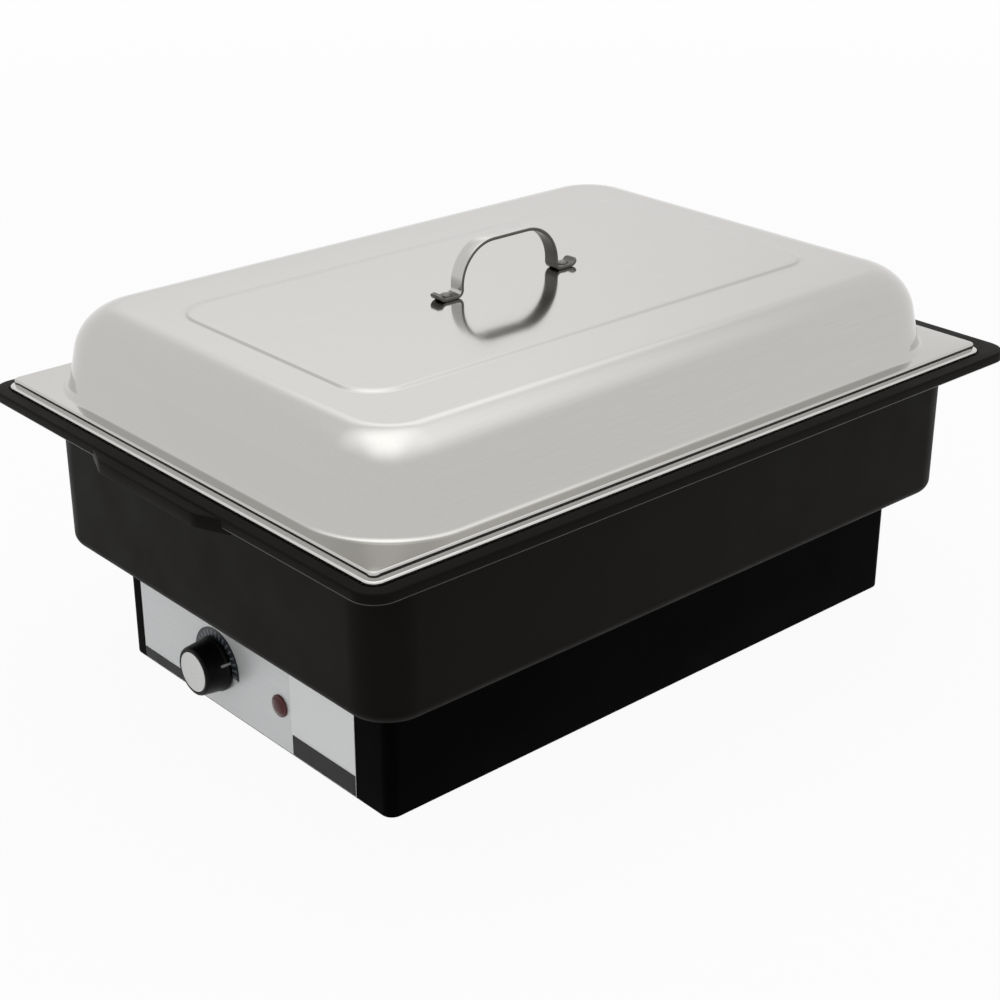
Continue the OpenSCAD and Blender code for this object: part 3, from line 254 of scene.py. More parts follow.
def calc(t, operation, *values):
    """Result of a Math node; each value is a number or another node's output."""
    n = t.nodes.new("ShaderNodeMath")
    n.operation = operation
    for socket, value in zip(n.inputs, values):
        if isinstance(value, float):
            socket.default_value = value
        else:
            t.links.new(value, socket)
    return n.outputs[0]


def noise(t, scale, stretch=(1, 1, 1), detail=4.0, rough=0.5):
    """Noise in the object's own space."""
    co = t.nodes.new("ShaderNodeTexCoord")
    mp = t.nodes.new("ShaderNodeMapping")
    mp.inputs["Scale"].default_value = stretch
    n = t.nodes.new("ShaderNodeTexNoise")
    n.inputs["Scale"].default_value = scale
    n.inputs["Detail"].default_value = detail
    n.inputs["Roughness"].default_value = rough
    t.links.new(co.outputs["Object"], mp.inputs["Vector"])
    t.links.new(mp.outputs["Vector"], n.inputs["Vector"])
    return n.outputs["Fac"]


def spread(t, value, low, high, lo_in=0.3, hi_in=0.7, blend="LINEAR"):
    """Value mapped from lo_in..hi_in to low..high, and held there beyond."""
    r = t.nodes.new("ShaderNodeMapRange")
    r.interpolation_type = blend
    r.inputs["From Min"].default_value = lo_in
    r.inputs["From Max"].default_value = hi_in
    r.inputs["To Min"].default_value = low
    r.inputs["To Max"].default_value = high
    t.links.new(value, r.inputs["Value"])
    return r.outputs["Result"]


def blend_colours(t, value, a, b):
    """Colour a where value is 0 and b where it is 1; a may also be another node's output."""
    m = t.nodes.new("ShaderNodeMix")
    m.data_type = "RGBA"
    if isinstance(a, tuple):
        m.inputs["A"].default_value = (*a, 1.0)
    else:
        t.links.new(a, m.inputs["A"])
    m.inputs["B"].default_value = (*b, 1.0)
    t.links.new(value, m.inputs["Factor"])
    return m.outputs["Result"]


def shade(colour, share):
    """A colour made darker or lighter."""
    return tuple(min(c * share, 1.0) for c in colour)


def bump(t, b, value, strength, distance, chain=None):
    """Bumps the shader's surface by value, on top of an earlier bump where one is given."""
    n = t.nodes.new("ShaderNodeBump")
    n.inputs["Strength"].default_value = strength
    n.inputs["Distance"].default_value = distance
    t.links.new(value, n.inputs["Height"])
    if chain is not None:
        t.links.new(chain, n.inputs["Normal"])
    t.links.new(n.outputs["Normal"], b.inputs["Normal"])
    return n.outputs["Normal"]


def surface(name, colour, rough, metal=0.0, vary=0.12, scale=160.0, bump_scale=900.0, bump_strength=0.1,
            bump_distance=0.0002, specular=0.5, coat=0.0):
    """Procedural material: colour and roughness wander, and a fine grain bumps the surface."""
    m, t, b = node_material(name)
    rough_span, coat_rough = 0.06, 0.08
    wander = noise(t, scale)
    patches = blend_colours(t, spread(t, wander, 0, 1), shade(colour, 1 - vary), shade(colour, 1 + vary))
    t.links.new(patches, b.inputs["Base Color"])
    t.links.new(spread(t, wander, rough - rough_span, rough + rough_span), b.inputs["Roughness"])
    b.inputs["Metallic"].default_value = metal
    b.inputs["Specular IOR Level"].default_value = specular
    b.inputs["Coat Weight"].default_value = coat
    if coat:
        b.inputs["Coat Roughness"].default_value = coat_rough
    bump(t, b, noise(t, bump_scale, detail=3.0), bump_strength, bump_distance)
    return m


def sheet_steel(name, colour, rough, brush=(1, 60, 60), wave=0.0006, brush_bump=0.05, crease=None, vary=1.0):
    """Satin stainless sheet: fine drawn lines, patches of different polish and a slow waviness from pressing.

    A crease is the (low, high) heights of a pressed step, coloured darker there as a thin line of painted
    shade."""
    m, t, b = node_material(name)
    line_rough, patch_rough, crease_painted_shade = 0.035 * vary, 0.03, 0.92
    lines = noise(t, 18.0, brush, detail=6.0, rough=0.65)
    patches = noise(t, 14.0, detail=3.0)
    dark, light = shade(colour, 1 - 0.05 * vary), shade(colour, 1 + 0.04 * vary)
    steel = blend_colours(t, spread(t, lines, 0, 1), dark, light)
    # Painted shade: the colour is darkened within the crease's band of heights
    if crease:
        low, high = crease
        within = calc(t, "COMPARE", object_axes(t)["Z"], (low + high) / 2 * MM, (high - low) / 2 * MM)
        steel = blend_colours(t, within, steel, shade(colour, crease_painted_shade))
    t.links.new(steel, b.inputs["Base Color"])
    polish = spread(t, patches, rough - patch_rough, rough + patch_rough)
    t.links.new(calc(t, "ADD", spread(t, lines, -line_rough, line_rough), polish), b.inputs["Roughness"])
    b.inputs["Metallic"].default_value = 1.0
    slow = bump(t, b, noise(t, 7.0, detail=1.0), 0.35, wave)
    bump(t, b, lines, brush_bump, 0.0001, slow)
    return m


def fascia_material():
    """Satin silver film with a fine grain, paler on the bare rating plate beside the lamp."""
    m, t, b = node_material("fascia_silver")
    grain = noise(t, 30.0, (1, 1, 50), detail=5.0, rough=0.6)
    plate = calc(t, "LESS_THAN", object_axes(t)["Y"], RATING_PLATE_Y * MM)
    silver = blend_colours(t, spread(t, grain, 0, 1), (0.66, 0.67, 0.675), (0.72, 0.73, 0.735))
    t.links.new(blend_colours(t, plate, silver, (0.79, 0.8, 0.8)), b.inputs["Base Color"])
    t.links.new(spread(t, grain, 0.34, 0.44), b.inputs["Roughness"])
    b.inputs["Metallic"].default_value = 0.35
    bump(t, b, grain, 0.04, 0.0001)
    return m


def dial_material():
    """Dark printed scale with pale strokes at even angles round the knob."""
    m, t, b = node_material("dial_print")
    at = object_axes(t)
    dy = calc(t, "SUBTRACT", at["Y"], KNOB_Y * MM)
    dz = calc(t, "SUBTRACT", at["Z"], KNOB_Z * MM)
    wave = calc(t, "COSINE", calc(t, "MULTIPLY", calc(t, "ARCTAN2", dy, dz), float(STROKES)))
    reach = calc(t, "SQRT", calc(t, "ADD", calc(t, "MULTIPLY", dy, dy), calc(t, "MULTIPLY", dz, dz)))
    within = calc(t, "LESS_THAN", reach, STROKE_R * MM)
    stroke = calc(t, "MULTIPLY", spread(t, wave, 0.0, 1.0, 0.5, 0.8), within)
    mottle = blend_colours(t, noise(t, 200.0), (0.010, 0.013, 0.016), (0.016, 0.020, 0.024))
    t.links.new(blend_colours(t, stroke, mottle, (0.16, 0.185, 0.205)), b.inputs["Base Color"])
    t.links.new(spread(t, noise(t, 300.0), 0.38, 0.5), b.inputs["Roughness"])
    return m


# Materials, most of them named as the slot that they dress
# The lid's crown step carries a line of painted shade
lid_steel = sheet_steel("lid_steel", (0.51, 0.5, 0.482), 0.1, wave=0.0003, brush_bump=0.006, vary=0.5,
                        crease=(DOME_TOP + 0.1, CROWN_Z - 0.1))
pan_steel = sheet_steel("pan_steel", (0.6, 0.595, 0.58), 0.16, wave=0.0003)
handle_steel = sheet_steel("handle_steel", (0.5, 0.495, 0.48), 0.2, brush=(8, 40, 8), wave=0.0001)
# A dark copy of the handle's steel that paints shade on the strap's inside, edges and feet
handle_painted_shade = sheet_steel("handle_painted_shade", (0.13, 0.125, 0.118), 0.3, brush=(8, 40, 8), wave=0.0001)
tub_black = surface("tub_black", (0.0063, 0.0052, 0.0043), 0.5, bump_scale=1400.0, bump_strength=0.22,
                    bump_distance=0.00012, scale=30.0, vary=0.16, specular=0.04)
rim_black = surface("rim_black", (0.0063, 0.0052, 0.0043), 0.35, bump_scale=1400.0, bump_strength=0.12,
                    bump_distance=0.0001, scale=30.0, vary=0.16, specular=0.35)
base_black = surface("base_black", (0.0011, 0.001, 0.0009), 0.52, bump_scale=1400.0, bump_strength=0.16,
                     bump_distance=0.0001, scale=26.0, vary=0.15, specular=0.01)
cover_black = surface("cover_black", (0.016, 0.016, 0.016), 0.5, bump_scale=700.0)
rubber_black = surface("rubber_black", (0.012, 0.012, 0.012), 0.8, bump_scale=1500.0, bump_strength=0.3)
zinc = surface("zinc", (0.52, 0.53, 0.54), 0.34, metal=1.0, scale=240.0)
film_dark = surface("film_dark", (0.014, 0.0145, 0.0165), 0.4, scale=90.0, bump_strength=0.03, specular=0.15)
moulded_cream = surface("moulded_cream", (0.62, 0.58, 0.48), 0.55)
ceramic_cream = surface("ceramic_cream", (0.6, 0.55, 0.44), 0.6, bump_scale=500.0, bump_strength=0.2)
copper = surface("copper", (0.58, 0.28, 0.16), 0.32, metal=1.0, vary=0.18)
plate_steel = sheet_steel("plate_steel", (0.5, 0.5, 0.49), 0.33, wave=0.0002)
silicone_red = surface("silicone_red", (0.2, 0.04, 0.025), 0.7)
element_steel = surface("element_steel", (0.12, 0.11, 0.1), 0.5, metal=1.0, vary=0.3, scale=60.0)
shield_aluminium = sheet_steel("shield_aluminium", (0.66, 0.67, 0.68), 0.36, wave=0.0003)
bakelite_brown = surface("bakelite_brown", (0.09, 0.04, 0.02), 0.3)
brass = surface("brass", (0.62, 0.45, 0.16), 0.3, metal=1.0)
wire_brown = surface("wire_brown", (0.1, 0.05, 0.022), 0.5)
wire_black = surface("wire_black", (0.014, 0.014, 0.014), 0.5)
wire_blue = surface("wire_blue", (0.03, 0.1, 0.34), 0.5)
wire_green = surface("wire_green", (0.2, 0.38, 0.05), 0.5)
wire_white = surface("wire_white", (0.56, 0.54, 0.49), 0.5)
gland_black = surface("gland_black", (0.011, 0.011, 0.011), 0.45, bump_scale=1200.0)
knob_black = surface("knob_black", (0.0022, 0.0022, 0.0024), 0.32, scale=120.0, bump_strength=0.05,
                     specular=0.08)
cap_silver = sheet_steel("cap_silver", (0.52, 0.52, 0.51), 0.26, brush=(6, 30, 6), wave=0.00005)
mark_white = surface("mark_white", (0.32, 0.32, 0.315), 0.4)
lens_red = surface("lens_red", (0.085, 0.01, 0.012), 0.25, scale=200.0, bump_strength=0.04, specular=0.25,
                   coat=0.1)
fascia_silver = fascia_material()
dial_print = dial_material()

# Nodes that are shown as the CAD made them
NODE_MATERIALS = {
    "bottom_cover": cover_black, "rubber_feet": rubber_black, "cover_screws": zinc, "tub_screws": zinc,
    "control_panel": fascia_silver, "dial_scale": dial_print, "dark_bands": film_dark,
    "lamp_body": moulded_cream, "lamp_nut": zinc,
    "thermostat_body": ceramic_cream, "thermostat_screws": zinc, "sensor_bulb": copper,
    "bulb_clip": zinc, "capillary_tube": copper, "heater_plate": plate_steel, "heater_gasket": silicone_red,
    "heater_nuts": zinc, "heating_element": element_steel, "element_clamps": zinc, "clamp_screws": zinc,
    "heat_shield": shield_aluminium, "thermal_cutout": bakelite_brown, "terminal_block": ceramic_cream,
    "terminal_screws": brass, "earth_stud": brass, "live_wire": wire_brown, "switched_wire": wire_black,
    "heater_wire": wire_black, "neutral_wire": wire_blue, "earth_wire": wire_green, "lamp_wires": wire_white,
    "gland_nut": gland_black, "knob_pointer": mark_white, "thermostat_shaft": zinc, "rivet_washers": zinc,
}
for node_name, material in NODE_MATERIALS.items():
    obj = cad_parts[node_name]
    obj.data.materials.clear()
    obj.data.materials.append(material)


def lid_profile():
    """(inset from the lid's edge, height) from the hem up to the edge of the pressed crown."""
    pts = [(0.0, PAN_TOP), (0.0, LID_Z - HEM_R)]
    pts += [(HEM_R + x, z) for x, z in arc(0, LID_Z - HEM_R, HEM_R, 180, 90, 5)[1:]]
    hollow = DOME_FOOT + FOOT_FILLET * math.tan(LEAN) - FOOT_FILLET / math.cos(LEAN)
    pts += arc(hollow, LID_Z + FOOT_FILLET, FOOT_FILLET, 270, 360 - math.degrees(LEAN), 6)
    apex = DOME_FOOT + (DOME_TOP - LID_Z) * math.tan(LEAN)
    crest = apex + SHOULDER * math.tan(math.radians(45) - LEAN / 2)
    pts += arc(crest, DOME_TOP - SHOULDER, SHOULDER, 180 - math.degrees(LEAN), 90, 16)
    return pts


def lid_loop(inset, z, shrink=0.0):
    """Outline of the lid at an inset from its edge, with the corner radius growing from hem to dome."""
    if inset <= HEM_END:
        r = LID_R - inset
    elif inset < BEND_START:
        r = LID_R + (BEND_CORNER_R - LID_R) * (inset - HEM_END) / (BEND_START - HEM_END)
    else:
        r = DOME_R + DOME_FOOT - inset
    l, w = LID_L - 2 * inset - 2 * shrink, LID_W - 2 * inset - 2 * shrink
    return rounded_loop(l, w, r - shrink, z, STEEL_X)


def crown_loops(z_flat, z_crown, shrink):
    """Outlines over the step of the pressed crown and on towards the middle."""
    out = []
    for grow, t in CROWN_STEP:
        z = z_flat + (z_crown - z_flat) * t
        out.append(rounded_loop(CROWN_L + 2 * grow - 2 * shrink, CROWN_W + 2 * grow - 2 * shrink,
                                CROWN_R + grow - shrink, z, STEEL_X))
    for k in CROWN_FAN:
        out.append(rounded_loop(CROWN_L - CROWN_W * (1 - k), CROWN_W * k, CROWN_R * k, z_crown, STEEL_X))
    return out


def make_lid():
    """Lid as one closed sheet: outside from the crown down to the hem, then back up the inside."""
    bm = bmesh.new()
    profile = lid_profile()
    outer = [lid_loop(d, z) for d, z in profile] + crown_loops(DOME_TOP, CROWN_Z, 0.0)
    inner = [lid_loop(SHEET_T, PAN_TOP), lid_loop(SHEET_T, LID_Z - HEM_INSIDE)]
    inner.append(lid_loop(HEM_INSIDE, LID_Z - SHEET_T))
    inner += [lid_loop(d, z - SHEET_T, DOME_INSIDE) for d, z in profile[INSIDE_START:]]
    inner += crown_loops(DOME_TOP - SHEET_T, CROWN_Z - SHEET_T, SHEET_T)
    add_loops(bm, list(reversed(outer)) + inner, cap_start=True, cap_end=True)
    piece("lid_skin", bm, lid_steel, "lid", ["lid_shell"], smooth=40.0)


def handle_path():
    """Centre line of the strap in the side view, from tip to tip, and how far out its rivets sit."""
    corner_x, corner_z = HANDLE_SPAN / 2 - HANDLE_CORNER_R, CROWN_Z + HANDLE_H - HANDLE_CORNER_R
    low_z = CROWN_Z + HANDLE_T / 2
    bend_x = HANDLE_SPAN / 2 - HANDLE_T / 2 + BEND_R
    foot = bend_x + HANDLE_FOOT
    right = arc(foot - TIP_SETBACK, low_z + TIP_R, TIP_R, TIP_ANGLE, 270, 10)
    right += [(foot - TIP_FLAT, low_z), (bend_x + BEND_FLAT, low_z)]
    right += arc(bend_x, low_z + BEND_R, BEND_R, 270, 180, 10)
    right += arc(corner_x, corner_z, HANDLE_CORNER_R - HANDLE_T / 2, 0, 90, 28)
    left = [(-x, z) for x, z in reversed(right)]
    top_z = right[-1][1]
    path = right + [(corner_x * 0.5, top_z), (0.0, top_z), (-corner_x * 0.5, top_z)] + left
    return path, bend_x + HANDLE_FOOT / 2


def make_handle():
    """Strap handle with rounded edges, and the heads and tails of its two rivets."""
    bm = bmesh.new()
    path, rivet_x = handle_path()
    hw, ht = HANDLE_W / 2 - HANDLE_EDGE_R, HANDLE_T / 2 - HANDLE_EDGE_R
    section = []
    for sy, sz, a0 in ((1, 1, 0), (-1, 1, 90), (-1, -1, 180), (1, -1, 270)):
        section += [(sy * hw + x, sz * ht + z) for x, z in arc(0, 0, HANDLE_EDGE_R, a0, a0 + 90, 4)]
    loops = []
    for i, (x, z, tx, tz) in enumerate(along(path)):
        k = min(i, len(path) - 1 - i)
        taper = TIP_TAPER[k] if k < len(TIP_TAPER) else 1.0
        loops.append([Vector((STEEL_X + x - tz * v, u * taper, z + tx * v)) * MM for u, v in section])
    add_loops(bm, loops, cap_start=True, cap_end=True)
    bmesh.ops.recalc_face_normals(bm, faces=bm.faces)
    # The strap's inside, its edges and its feet get the dark copy of the steel, as painted shade
    heart_h, facing_in, side_on, past_leg = 10.0, -0.1, 0.8, 1.0
    heart = Vector((STEEL_X, 0, CROWN_Z + heart_h)) * MM
    for f in bm.faces:
        away = f.calc_center_median() - heart
        inner = f.normal.dot(away.normalized()) < facing_in
        foot = abs(away.x) > (HANDLE_SPAN / 2 + past_leg) * MM
        edge = abs(f.normal.y) > side_on
        f.material_index = 1 if inner or foot or edge else 0
    piece("handle_strap", bm, handle_steel, "lid", ["lid_handle"], smooth=40.0,
          second=handle_painted_shade)
    bm = bmesh.new()
    for s in (-1, 1):
        add_lathe(bm, RIVET_HEAD, (STEEL_X + s * rivet_x, 0, CROWN_Z + HANDLE_T), "+z", 40)
        add_lathe(bm, RIVET_TAIL, (STEEL_X + s * rivet_x, 0, CROWN_Z - SHEET_T - WASHER_T), "+z", 40)
    # The rivet heads wear the painted-shade steel too, so they sit dark on the shaded feet
    piece("rivet_heads", bm, handle_painted_shade, "lid", ["handle_rivets"])


def make_pan():
    """Food pan as one closed sheet: inside from the floor up to the flange's edge, then back down outside."""
    bm = bmesh.new()
    depth = PAN_TOP - PAN_FLOOR
    lean = math.atan(PAN_DRAW / depth)

    def wall(offset, fillet, floor_z, lip_r, top_z):
        """(inset from the pan's mouth, height) from the floor up to the flange."""
        way_up = 0.6
        reach = fillet * math.tan(math.radians(45) - lean / 2)
        pts = arc(PAN_DRAW + offset + reach, floor_z + fillet, fillet, 270, 180 + math.degrees(lean), 8)
        pts.append((offset + PAN_DRAW * (1 - way_up), floor_z + depth * way_up))
        pts += [(offset - lip_r + x, z) for x, z in arc(0, top_z - lip_r, lip_r, 0, 90, 5)]
        return pts

    def mouth(d, z):
        return rounded_loop(PAN_L - 2 * d, PAN_W - 2 * d, PAN_R - d, z, STEEL_X)

    def hem(shrink, z):
        return rounded_loop(FLANGE_L - 2 * shrink, FLANGE_W - 2 * shrink, FLANGE_R - shrink, z, STEEL_X)

    def floor(z):
        return rounded_loop(PAN_L * PAN_PATCH, PAN_W * PAN_PATCH, PATCH_R, z, STEEL_X)

    inside = wall(SHEET_T, PAN_FILLET, PAN_FLOOR + SHEET_T, PAN_LIP, PAN_TOP)
    outside = wall(0.0, PAN_FILLET + SHEET_T, PAN_FLOOR, PAN_LIP + SHEET_T, PAN_TOP - SHEET_T)
    edge = ((HEM_R, PAN_TOP), (0.55, PAN_TOP - 0.18), (0.18, PAN_TOP - 0.55), (0, PAN_TOP - HEM_R),
            (0, LEDGE_Z), (SHEET_T, LEDGE_Z), (SHEET_T, PAN_TOP - 1.5), (1.4, PAN_TOP - SHEET_T))
    loops = [floor(PAN_FLOOR + SHEET_T)]
    loops += [mouth(d, z) for d, z in inside]
    loops += [hem(d, z) for d, z in edge]
    loops += [mouth(d, z) for d, z in reversed(outside)]
    loops.append(floor(PAN_FLOOR))
    add_loops(bm, loops, cap_start=True, cap_end=True)
    piece("pan_skin", bm, pan_steel, "food_pan", ["food_pan"], smooth=40.0)


def make_tub():
    """Water tub: trough, seat for the pan's flange, rim, screw bosses and a grip tab at each end."""
    bm = bmesh.new()

    def outer(d, z):
        return rounded_loop(TUB_L - 2 * d, TUB_W - 2 * d, TUB_R - d, z, TUB_X)

    def inner(d, z):
        return outer(d + TUB_WALL, z)

    def rim(d, z):
        return rounded_loop(RIM_L - 2 * d, RIM_W - 2 * d, RIM_R - d, z)

    def seat(grow, z):
        return rounded_loop(FLANGE_L + 2 * grow, FLANGE_W + 2 * grow, FLANGE_R + grow, z, STEEL_X)

    def middle(z):
        return rounded_loop(TUB_PATCH_L, TUB_PATCH_W, PATCH_R, z, TUB_X)

    fillet = TUB_FILLET - TUB_WALL
    loops = [middle(TUB_FLOOR_Z)]
    loops += [inner(d, z) for d, z in arc(fillet, TUB_FLOOR_Z + fillet, fillet, 270, 180, 8)]
    loops += [inner(x - TUB_MOUTH_R, z) for x, z in arc(0, LEDGE_Z - TUB_MOUTH_R, TUB_MOUTH_R, 0, 90, 4)]
    loops += [seat(SEAT_GAP - 0.4, LEDGE_Z), seat(SEAT_GAP, LEDGE_Z + 0.25)]
    loops += [seat(SEAT_GAP, RIM_TOP - SEAT_EDGE), seat(SEAT_GAP + SEAT_EDGE, RIM_TOP)]
    loops += [rim(RIM_TOP_R + x, z) for x, z in arc(0, RIM_TOP - RIM_TOP_R, RIM_TOP_R, 90, 180, 5)]
    loops += [rim(RIM_LOW_R + x, z) for x, z in arc(0, RIM_LOW + RIM_LOW_R, RIM_LOW_R, 180, 270, 4)]
    loops += [rim(RIM_EDGE, RIM_LOW), rim(RIM_EDGE, RIM_UNDER)]
    loops += [outer(x - RIM_UNDER_R, z) for x, z in arc(0, RIM_UNDER - RIM_UNDER_R, RIM_UNDER_R, 90, 0, 4)]
    loops += [outer(d, z) for d, z in arc(TUB_FILLET, TUB_Z + TUB_FILLET, TUB_FILLET, 180, 270, 10)]
    loops.append(middle(TUB_Z))
    add_loops(bm, loops, cap_start=True, cap_end=True)
    # The rim's lower edge is glossier than the rest, and shows as a thin lighter line
    margin = 0.1
    for f in bm.faces:
        x, y, z = f.calc_center_median() / MM
        out_x, out_y = max(abs(x) - RIM_L / 2 + RIM_R, 0.0), max(abs(y) - RIM_W / 2 + RIM_R, 0.0)
        low_edge = RIM_LOW - margin < z < RIM_LOW + RIM_LOW_R + margin
        f.material_index = 1 if low_edge and math.hypot(out_x, out_y) > RIM_R - RIM_EDGE else 0
    half_l, half_w = BASE_L / 2 - BASE_WALL - BOSS_INSET, BASE_W / 2 - BASE_WALL - BOSS_INSET
    for x, y in ((-TUB_BOSS_X, half_w), (TUB_BOSS_X, half_w), (-TUB_BOSS_X, -half_w), (TUB_BOSS_X, -half_w),
                 (-half_l, 0), (half_l, 0)):
        add_lathe(bm, TUB_BOSS, (BASE_X + x, y, TUB_FLOOR_Z), "+z", 32)
    for end in (-1, 1):
        add_tab(bm, end)
    piece("tub_skin", bm, tub_black, "dish_base", ["water_tub"], smooth=32.0, second=rim_black)


def add_tab(bm, end):
    """Hand-grip tab standing out of the rim at a short end: a top plate with a turned-down edge round it."""
    x0, x1 = RIM_L / 2 - TAB_ROOT, RIM_L / 2 + TAB_REACH
    y0, y1 = TAB_FOOT_Y, TAB_FACE_Y
    wall, low, top, under = TAB_WALL, LEDGE_Z - TAB_DROP, LEDGE_Z, LEDGE_Z - TAB_PLATE_T
    path = [(x0, y0), (x0 + 1.2, y0 - 2.7), (x1 - 3.0, y1 + 6.2), (x1 - 1.2, y1 + 2.4), (x1 - 0.3, y1 - 0.6),
            (x1, y1 - 3.4), (x1, TAB_MID_Y)]
    path += [(x, -y) for x, y in reversed(path)]
    section = [(wall, under), (wall, low + 0.5), (wall - 0.5, low), (0.6, low), (0.15, low + 0.2),
               (0.0, low + 0.7), (0.0, top - 1.3), (0.2, top - 0.6), (0.6, top - 0.2), (1.3, top),
               (wall + 3.0, top)]
    rings = []
    for x, y, tx, ty in along(path):
        rings.append([bm.verts.new(Vector((end * (x + ty * u), y - tx * u, z)) * MM) for u, z in section])
    for a, b in zip(rings, rings[1:]):
        add_strips(bm, a, b)
    top_row, under_row = [r[-1] for r in rings], [r[0] for r in rings]
    for row, inset, z in ((top_row, TAB_TOP_INSET, top), (under_row, TAB_UNDER_INSET, under)):
        back = [bm.verts.new(Vector((end * (RIM_L / 2 - inset) * MM, v.co.y, z * MM))) for v in row]
        add_strips(bm, row, back)


def make_base():
    """Base box, open below, with a shelf under the tub and a post in each corner."""
    bm = bmesh.new()
    low, high, wall, under = BASE_Z, TUB_Z, BASE_WALL, TUB_Z - BASE_TOP_T
    shelf = wall + BASE_SHELF

    def loop(d, z):
        return rounded_loop(BASE_L - 2 * d, BASE_W - 2 * d, max(BASE_R - d, BASE_LEAST_R), z, BASE_X)

    loops = [loop(0, z) for z in (high, *BASE_BANDS)]
    loops += [loop(BASE_LOW_R + x, z) for x, z in arc(0, low + BASE_LOW_R, BASE_LOW_R, 180, 270, 5)]
    loops += [loop(wall - 0.5, low), loop(wall, low + 0.5), loop(wall, under)]
    loops += [loop(shelf, under), loop(shelf, high)]
    add_loops(bm, loops, closed=True)
    for sx in (-1, 1):
        for sy in (-1, 1):
            x, y = BASE_X + sx * (BASE_L / 2 - wall - POST_R), sy * (BASE_W / 2 - wall - POST_R)
            add_lathe(bm, [(POST_R, POST_LOW), (POST_R, under - POST_SHORT)], (x, y, 0), "+z", 32)
    piece("base_skin", bm, base_black, "dish_base", ["base_plinth"], smooth=35.0)


def make_controls():
    """Fluted knob, its silver disc and the red lamp lens on the panel."""
    knob_at, lamp_at = (FACE_X, KNOB_Y, KNOB_Z), (FACE_X, LAMP_Y, LAMP_Z)
    bm = bmesh.new()
    add_lathe(bm, KNOB_GRIP, knob_at, steps=180, flutes=60, flute_depth=0.22, flute_span=(4.4, 16.2))
    piece("knob_grip", bm, knob_black, "knob", ["knob_body"], smooth=50.0)
    bm = bmesh.new()
    add_lathe(bm, KNOB_DISC, knob_at, steps=96)
    piece("knob_disc", bm, cap_silver, "knob", ["knob_cap"], smooth=50.0)
    bm = bmesh.new()
    add_lathe(bm, LAMP_JEWEL, lamp_at, steps=72)
    piece("lamp_jewel", bm, lens_red, "dish_base", ["lamp_lens"], smooth=50.0)


def make_gland():
    """Cord gland in the end away from the panel: fluted cap on a hexagon."""
    bm = bmesh.new()
    end = BASE_X + BASE_L / 2
    add_lathe(bm, GLAND_CAP, (end, 0, GLAND_Z), "+x", 96, flutes=16, flute_depth=0.5, flute_span=(5.6, 11.0))
    steps, sixth = 48, math.pi / 3
    hexagon = []
    for r, h in GLAND_HEXAGON:
        ring = []
        for k in range(steps):
            a = 2 * math.pi * k / steps
            rr = r
            if r > GLAND_HALF_FLAT:
                rr = min(r, GLAND_HALF_FLAT / math.cos((a + sixth / 2) % sixth - sixth / 2))
            ring.append(Vector((end + h, rr * math.sin(a), GLAND_Z + rr * math.cos(a))) * MM)
        hexagon.append(ring)
    add_loops(bm, hexagon, closed=True)
    piece("gland_body", bm, gland_black, "dish_base", ["cord_gland"], smooth=40.0)


def seen_directly(t):
    """1 on rays from the camera, and on those that a shiny or clear surface sends on."""
    path = t.nodes.new("ShaderNodeLightPath")
    sent_on = calc(t, "MAXIMUM", path.outputs["Is Glossy Ray"], path.outputs["Is Transmission Ray"])
    return calc(t, "MAXIMUM", path.outputs["Is Camera Ray"], sent_on)


def mix_shaders(t, value, a, b, surface_socket):
    """Sends shader a where value is 0, and b where it is 1, to the output."""
    mix = t.nodes.new("ShaderNodeMixShader")
    t.links.new(value, mix.inputs["Fac"])
    t.links.new(a, mix.inputs[1])
    t.links.new(b, mix.inputs[2])
    t.links.new(mix.outputs["Shader"], surface_socket)


def make_floor():
    """Plain pale floor that takes soft shadows and fades into the white background."""
    bm = bmesh.new()
    bmesh.ops.create_grid(bm, x_segments=1, y_segments=1, size=FLOOR_SIZE)
    mesh = bpy.data.meshes.new("floor")
    bm.to_mesh(mesh)
    bm.free()
    obj = bpy.data.objects.new("floor", mesh)
    bpy.context.scene.collection.objects.link(obj)
    m = bpy.data.materials.new("floor_white")
    m.use_nodes = True
    t = m.node_tree
    t.nodes.clear()
    out = t.nodes.new("ShaderNodeOutputMaterial")
    diffuse = t.nodes.new("ShaderNodeBsdfDiffuse")
    diffuse.inputs["Color"].default_value = (FLOOR_GREY, FLOOR_GREY, FLOOR_GREY, 1.0)
    white = t.nodes.new("ShaderNodeEmission")
    white.inputs["Strength"].default_value = 1.0
    place = t.nodes.new("ShaderNodeTexCoord")
    away = t.nodes.new("ShaderNodeVectorMath")
    away.operation = "LENGTH"
    t.links.new(place.outputs["Object"], away.inputs[0])
    whiteness = spread(t, away.outputs["Value"], FLOOR_WHITE_NEAR, 1.0, FLOOR_NEAR, FLOOR_FAR)
    share = calc(t, "MULTIPLY", seen_directly(t), whiteness)
    mix_shaders(t, share, diffuse.outputs["BSDF"], white.outputs["Emission"], out.inputs["Surface"])
    mesh.materials.append(m)


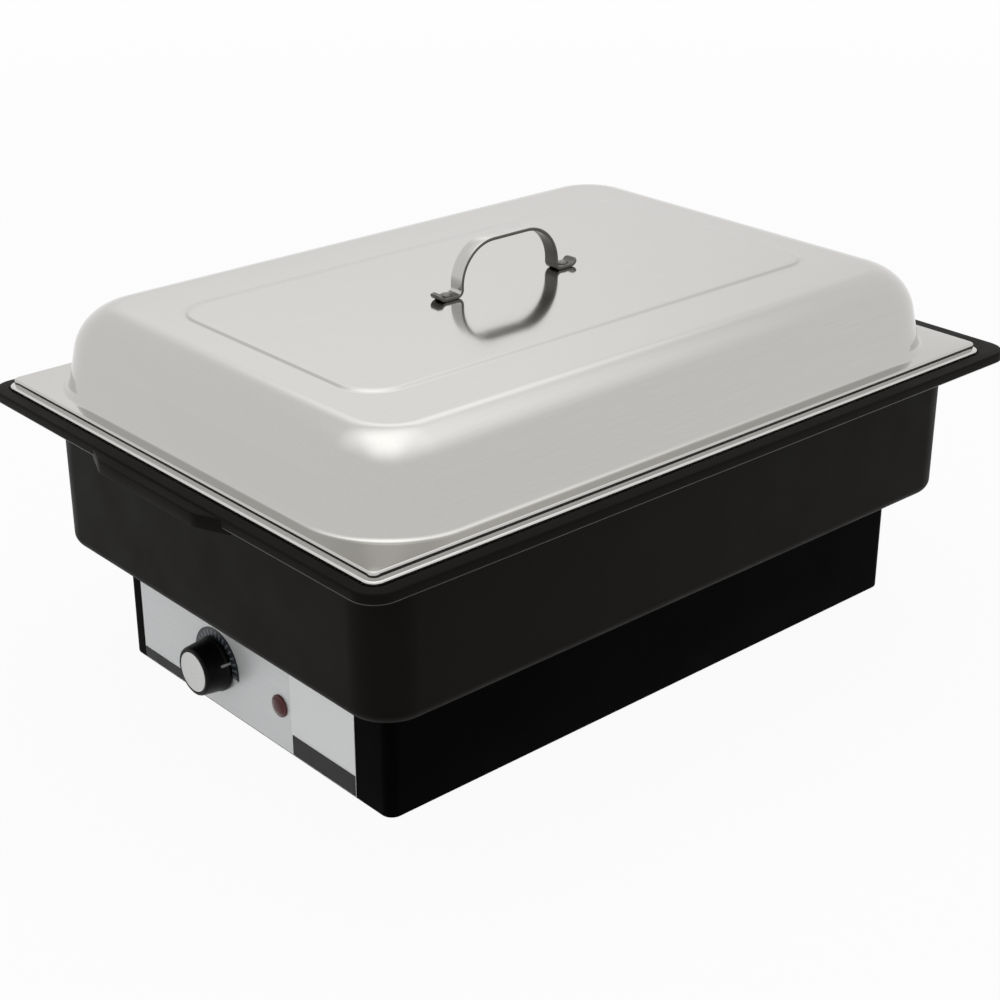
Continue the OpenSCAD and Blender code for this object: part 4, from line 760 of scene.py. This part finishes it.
def make_world():
    """White background for what is seen directly, and soft light for everything else."""
    w = bpy.data.worlds.new("studio")
    bpy.context.scene.world = w
    w.use_nodes = True
    t = w.node_tree
    t.nodes.clear()
    out = t.nodes.new("ShaderNodeOutputWorld")
    soft = t.nodes.new("ShaderNodeBackground")
    soft.inputs["Color"].default_value = (1.0, 1.0, 1.0, 1.0)
    soft.inputs["Strength"].default_value = WORLD_LIGHT
    white = t.nodes.new("ShaderNodeBackground")
    white.inputs["Color"].default_value = (1.0, 1.0, 1.0, 1.0)
    white.inputs["Strength"].default_value = 1.0
    mix_shaders(t, seen_directly(t), soft.outputs["Background"], white.outputs["Background"],
                out.inputs["Surface"])


def area_light(name, place, aim, size, power, mirrored, spin):
    """Softbox whose brightness fades out towards its edges; a fill light isn't mirrored in the steel."""
    data = bpy.data.lights.new(name, "AREA")
    data.shape = "RECTANGLE"
    data.size, data.size_y = size
    data.energy = power
    data.use_nodes = True
    t = data.node_tree
    where = t.nodes.new("ShaderNodeNewGeometry")
    split = t.nodes.new("ShaderNodeSeparateXYZ")
    t.links.new(where.outputs["Parametric"], split.inputs["Vector"])
    fades = []
    for axis in ("X", "Y"):
        far = calc(t, "ABSOLUTE", calc(t, "SUBTRACT", split.outputs[axis], 0.5))
        fades.append(spread(t, far, 1.0, 0.0, FADE_START, FADE_END, "SMOOTHSTEP"))
    t.links.new(calc(t, "MULTIPLY", *fades), t.nodes["Emission"].inputs["Strength"])
    obj = bpy.data.objects.new(name, data)
    obj.visible_glossy = mirrored
    obj.location = place
    facing = (Vector(aim) - Vector(place)).to_track_quat("-Z", "Y")
    obj.rotation_euler = (facing @ Quaternion((0.0, 0.0, 1.0), math.radians(spin))).to_euler()
    bpy.context.scene.collection.objects.link(obj)


def make_camera():
    """Camera fitted to the photograph's straight edges."""
    data = bpy.data.cameras.new("camera")
    data.lens = CAMERA_LENS
    data.sensor_width = CAMERA_SENSOR
    data.clip_start = CAMERA_CLIP
    obj = bpy.data.objects.new("camera", data)
    obj.location = CAMERA_PLACE
    obj.rotation_euler = (CAMERA_AIM - CAMERA_PLACE).to_track_quat("-Z", "Y").to_euler()
    bpy.context.scene.collection.objects.link(obj)
    bpy.context.scene.camera = obj


make_lid()
make_handle()
make_pan()
make_tub()
make_base()
make_controls()
make_gland()
make_floor()
make_world()
for softbox in SOFTBOXES:
    area_light(*softbox)
make_camera()
bpy.context.scene.view_settings.view_transform = "Standard"
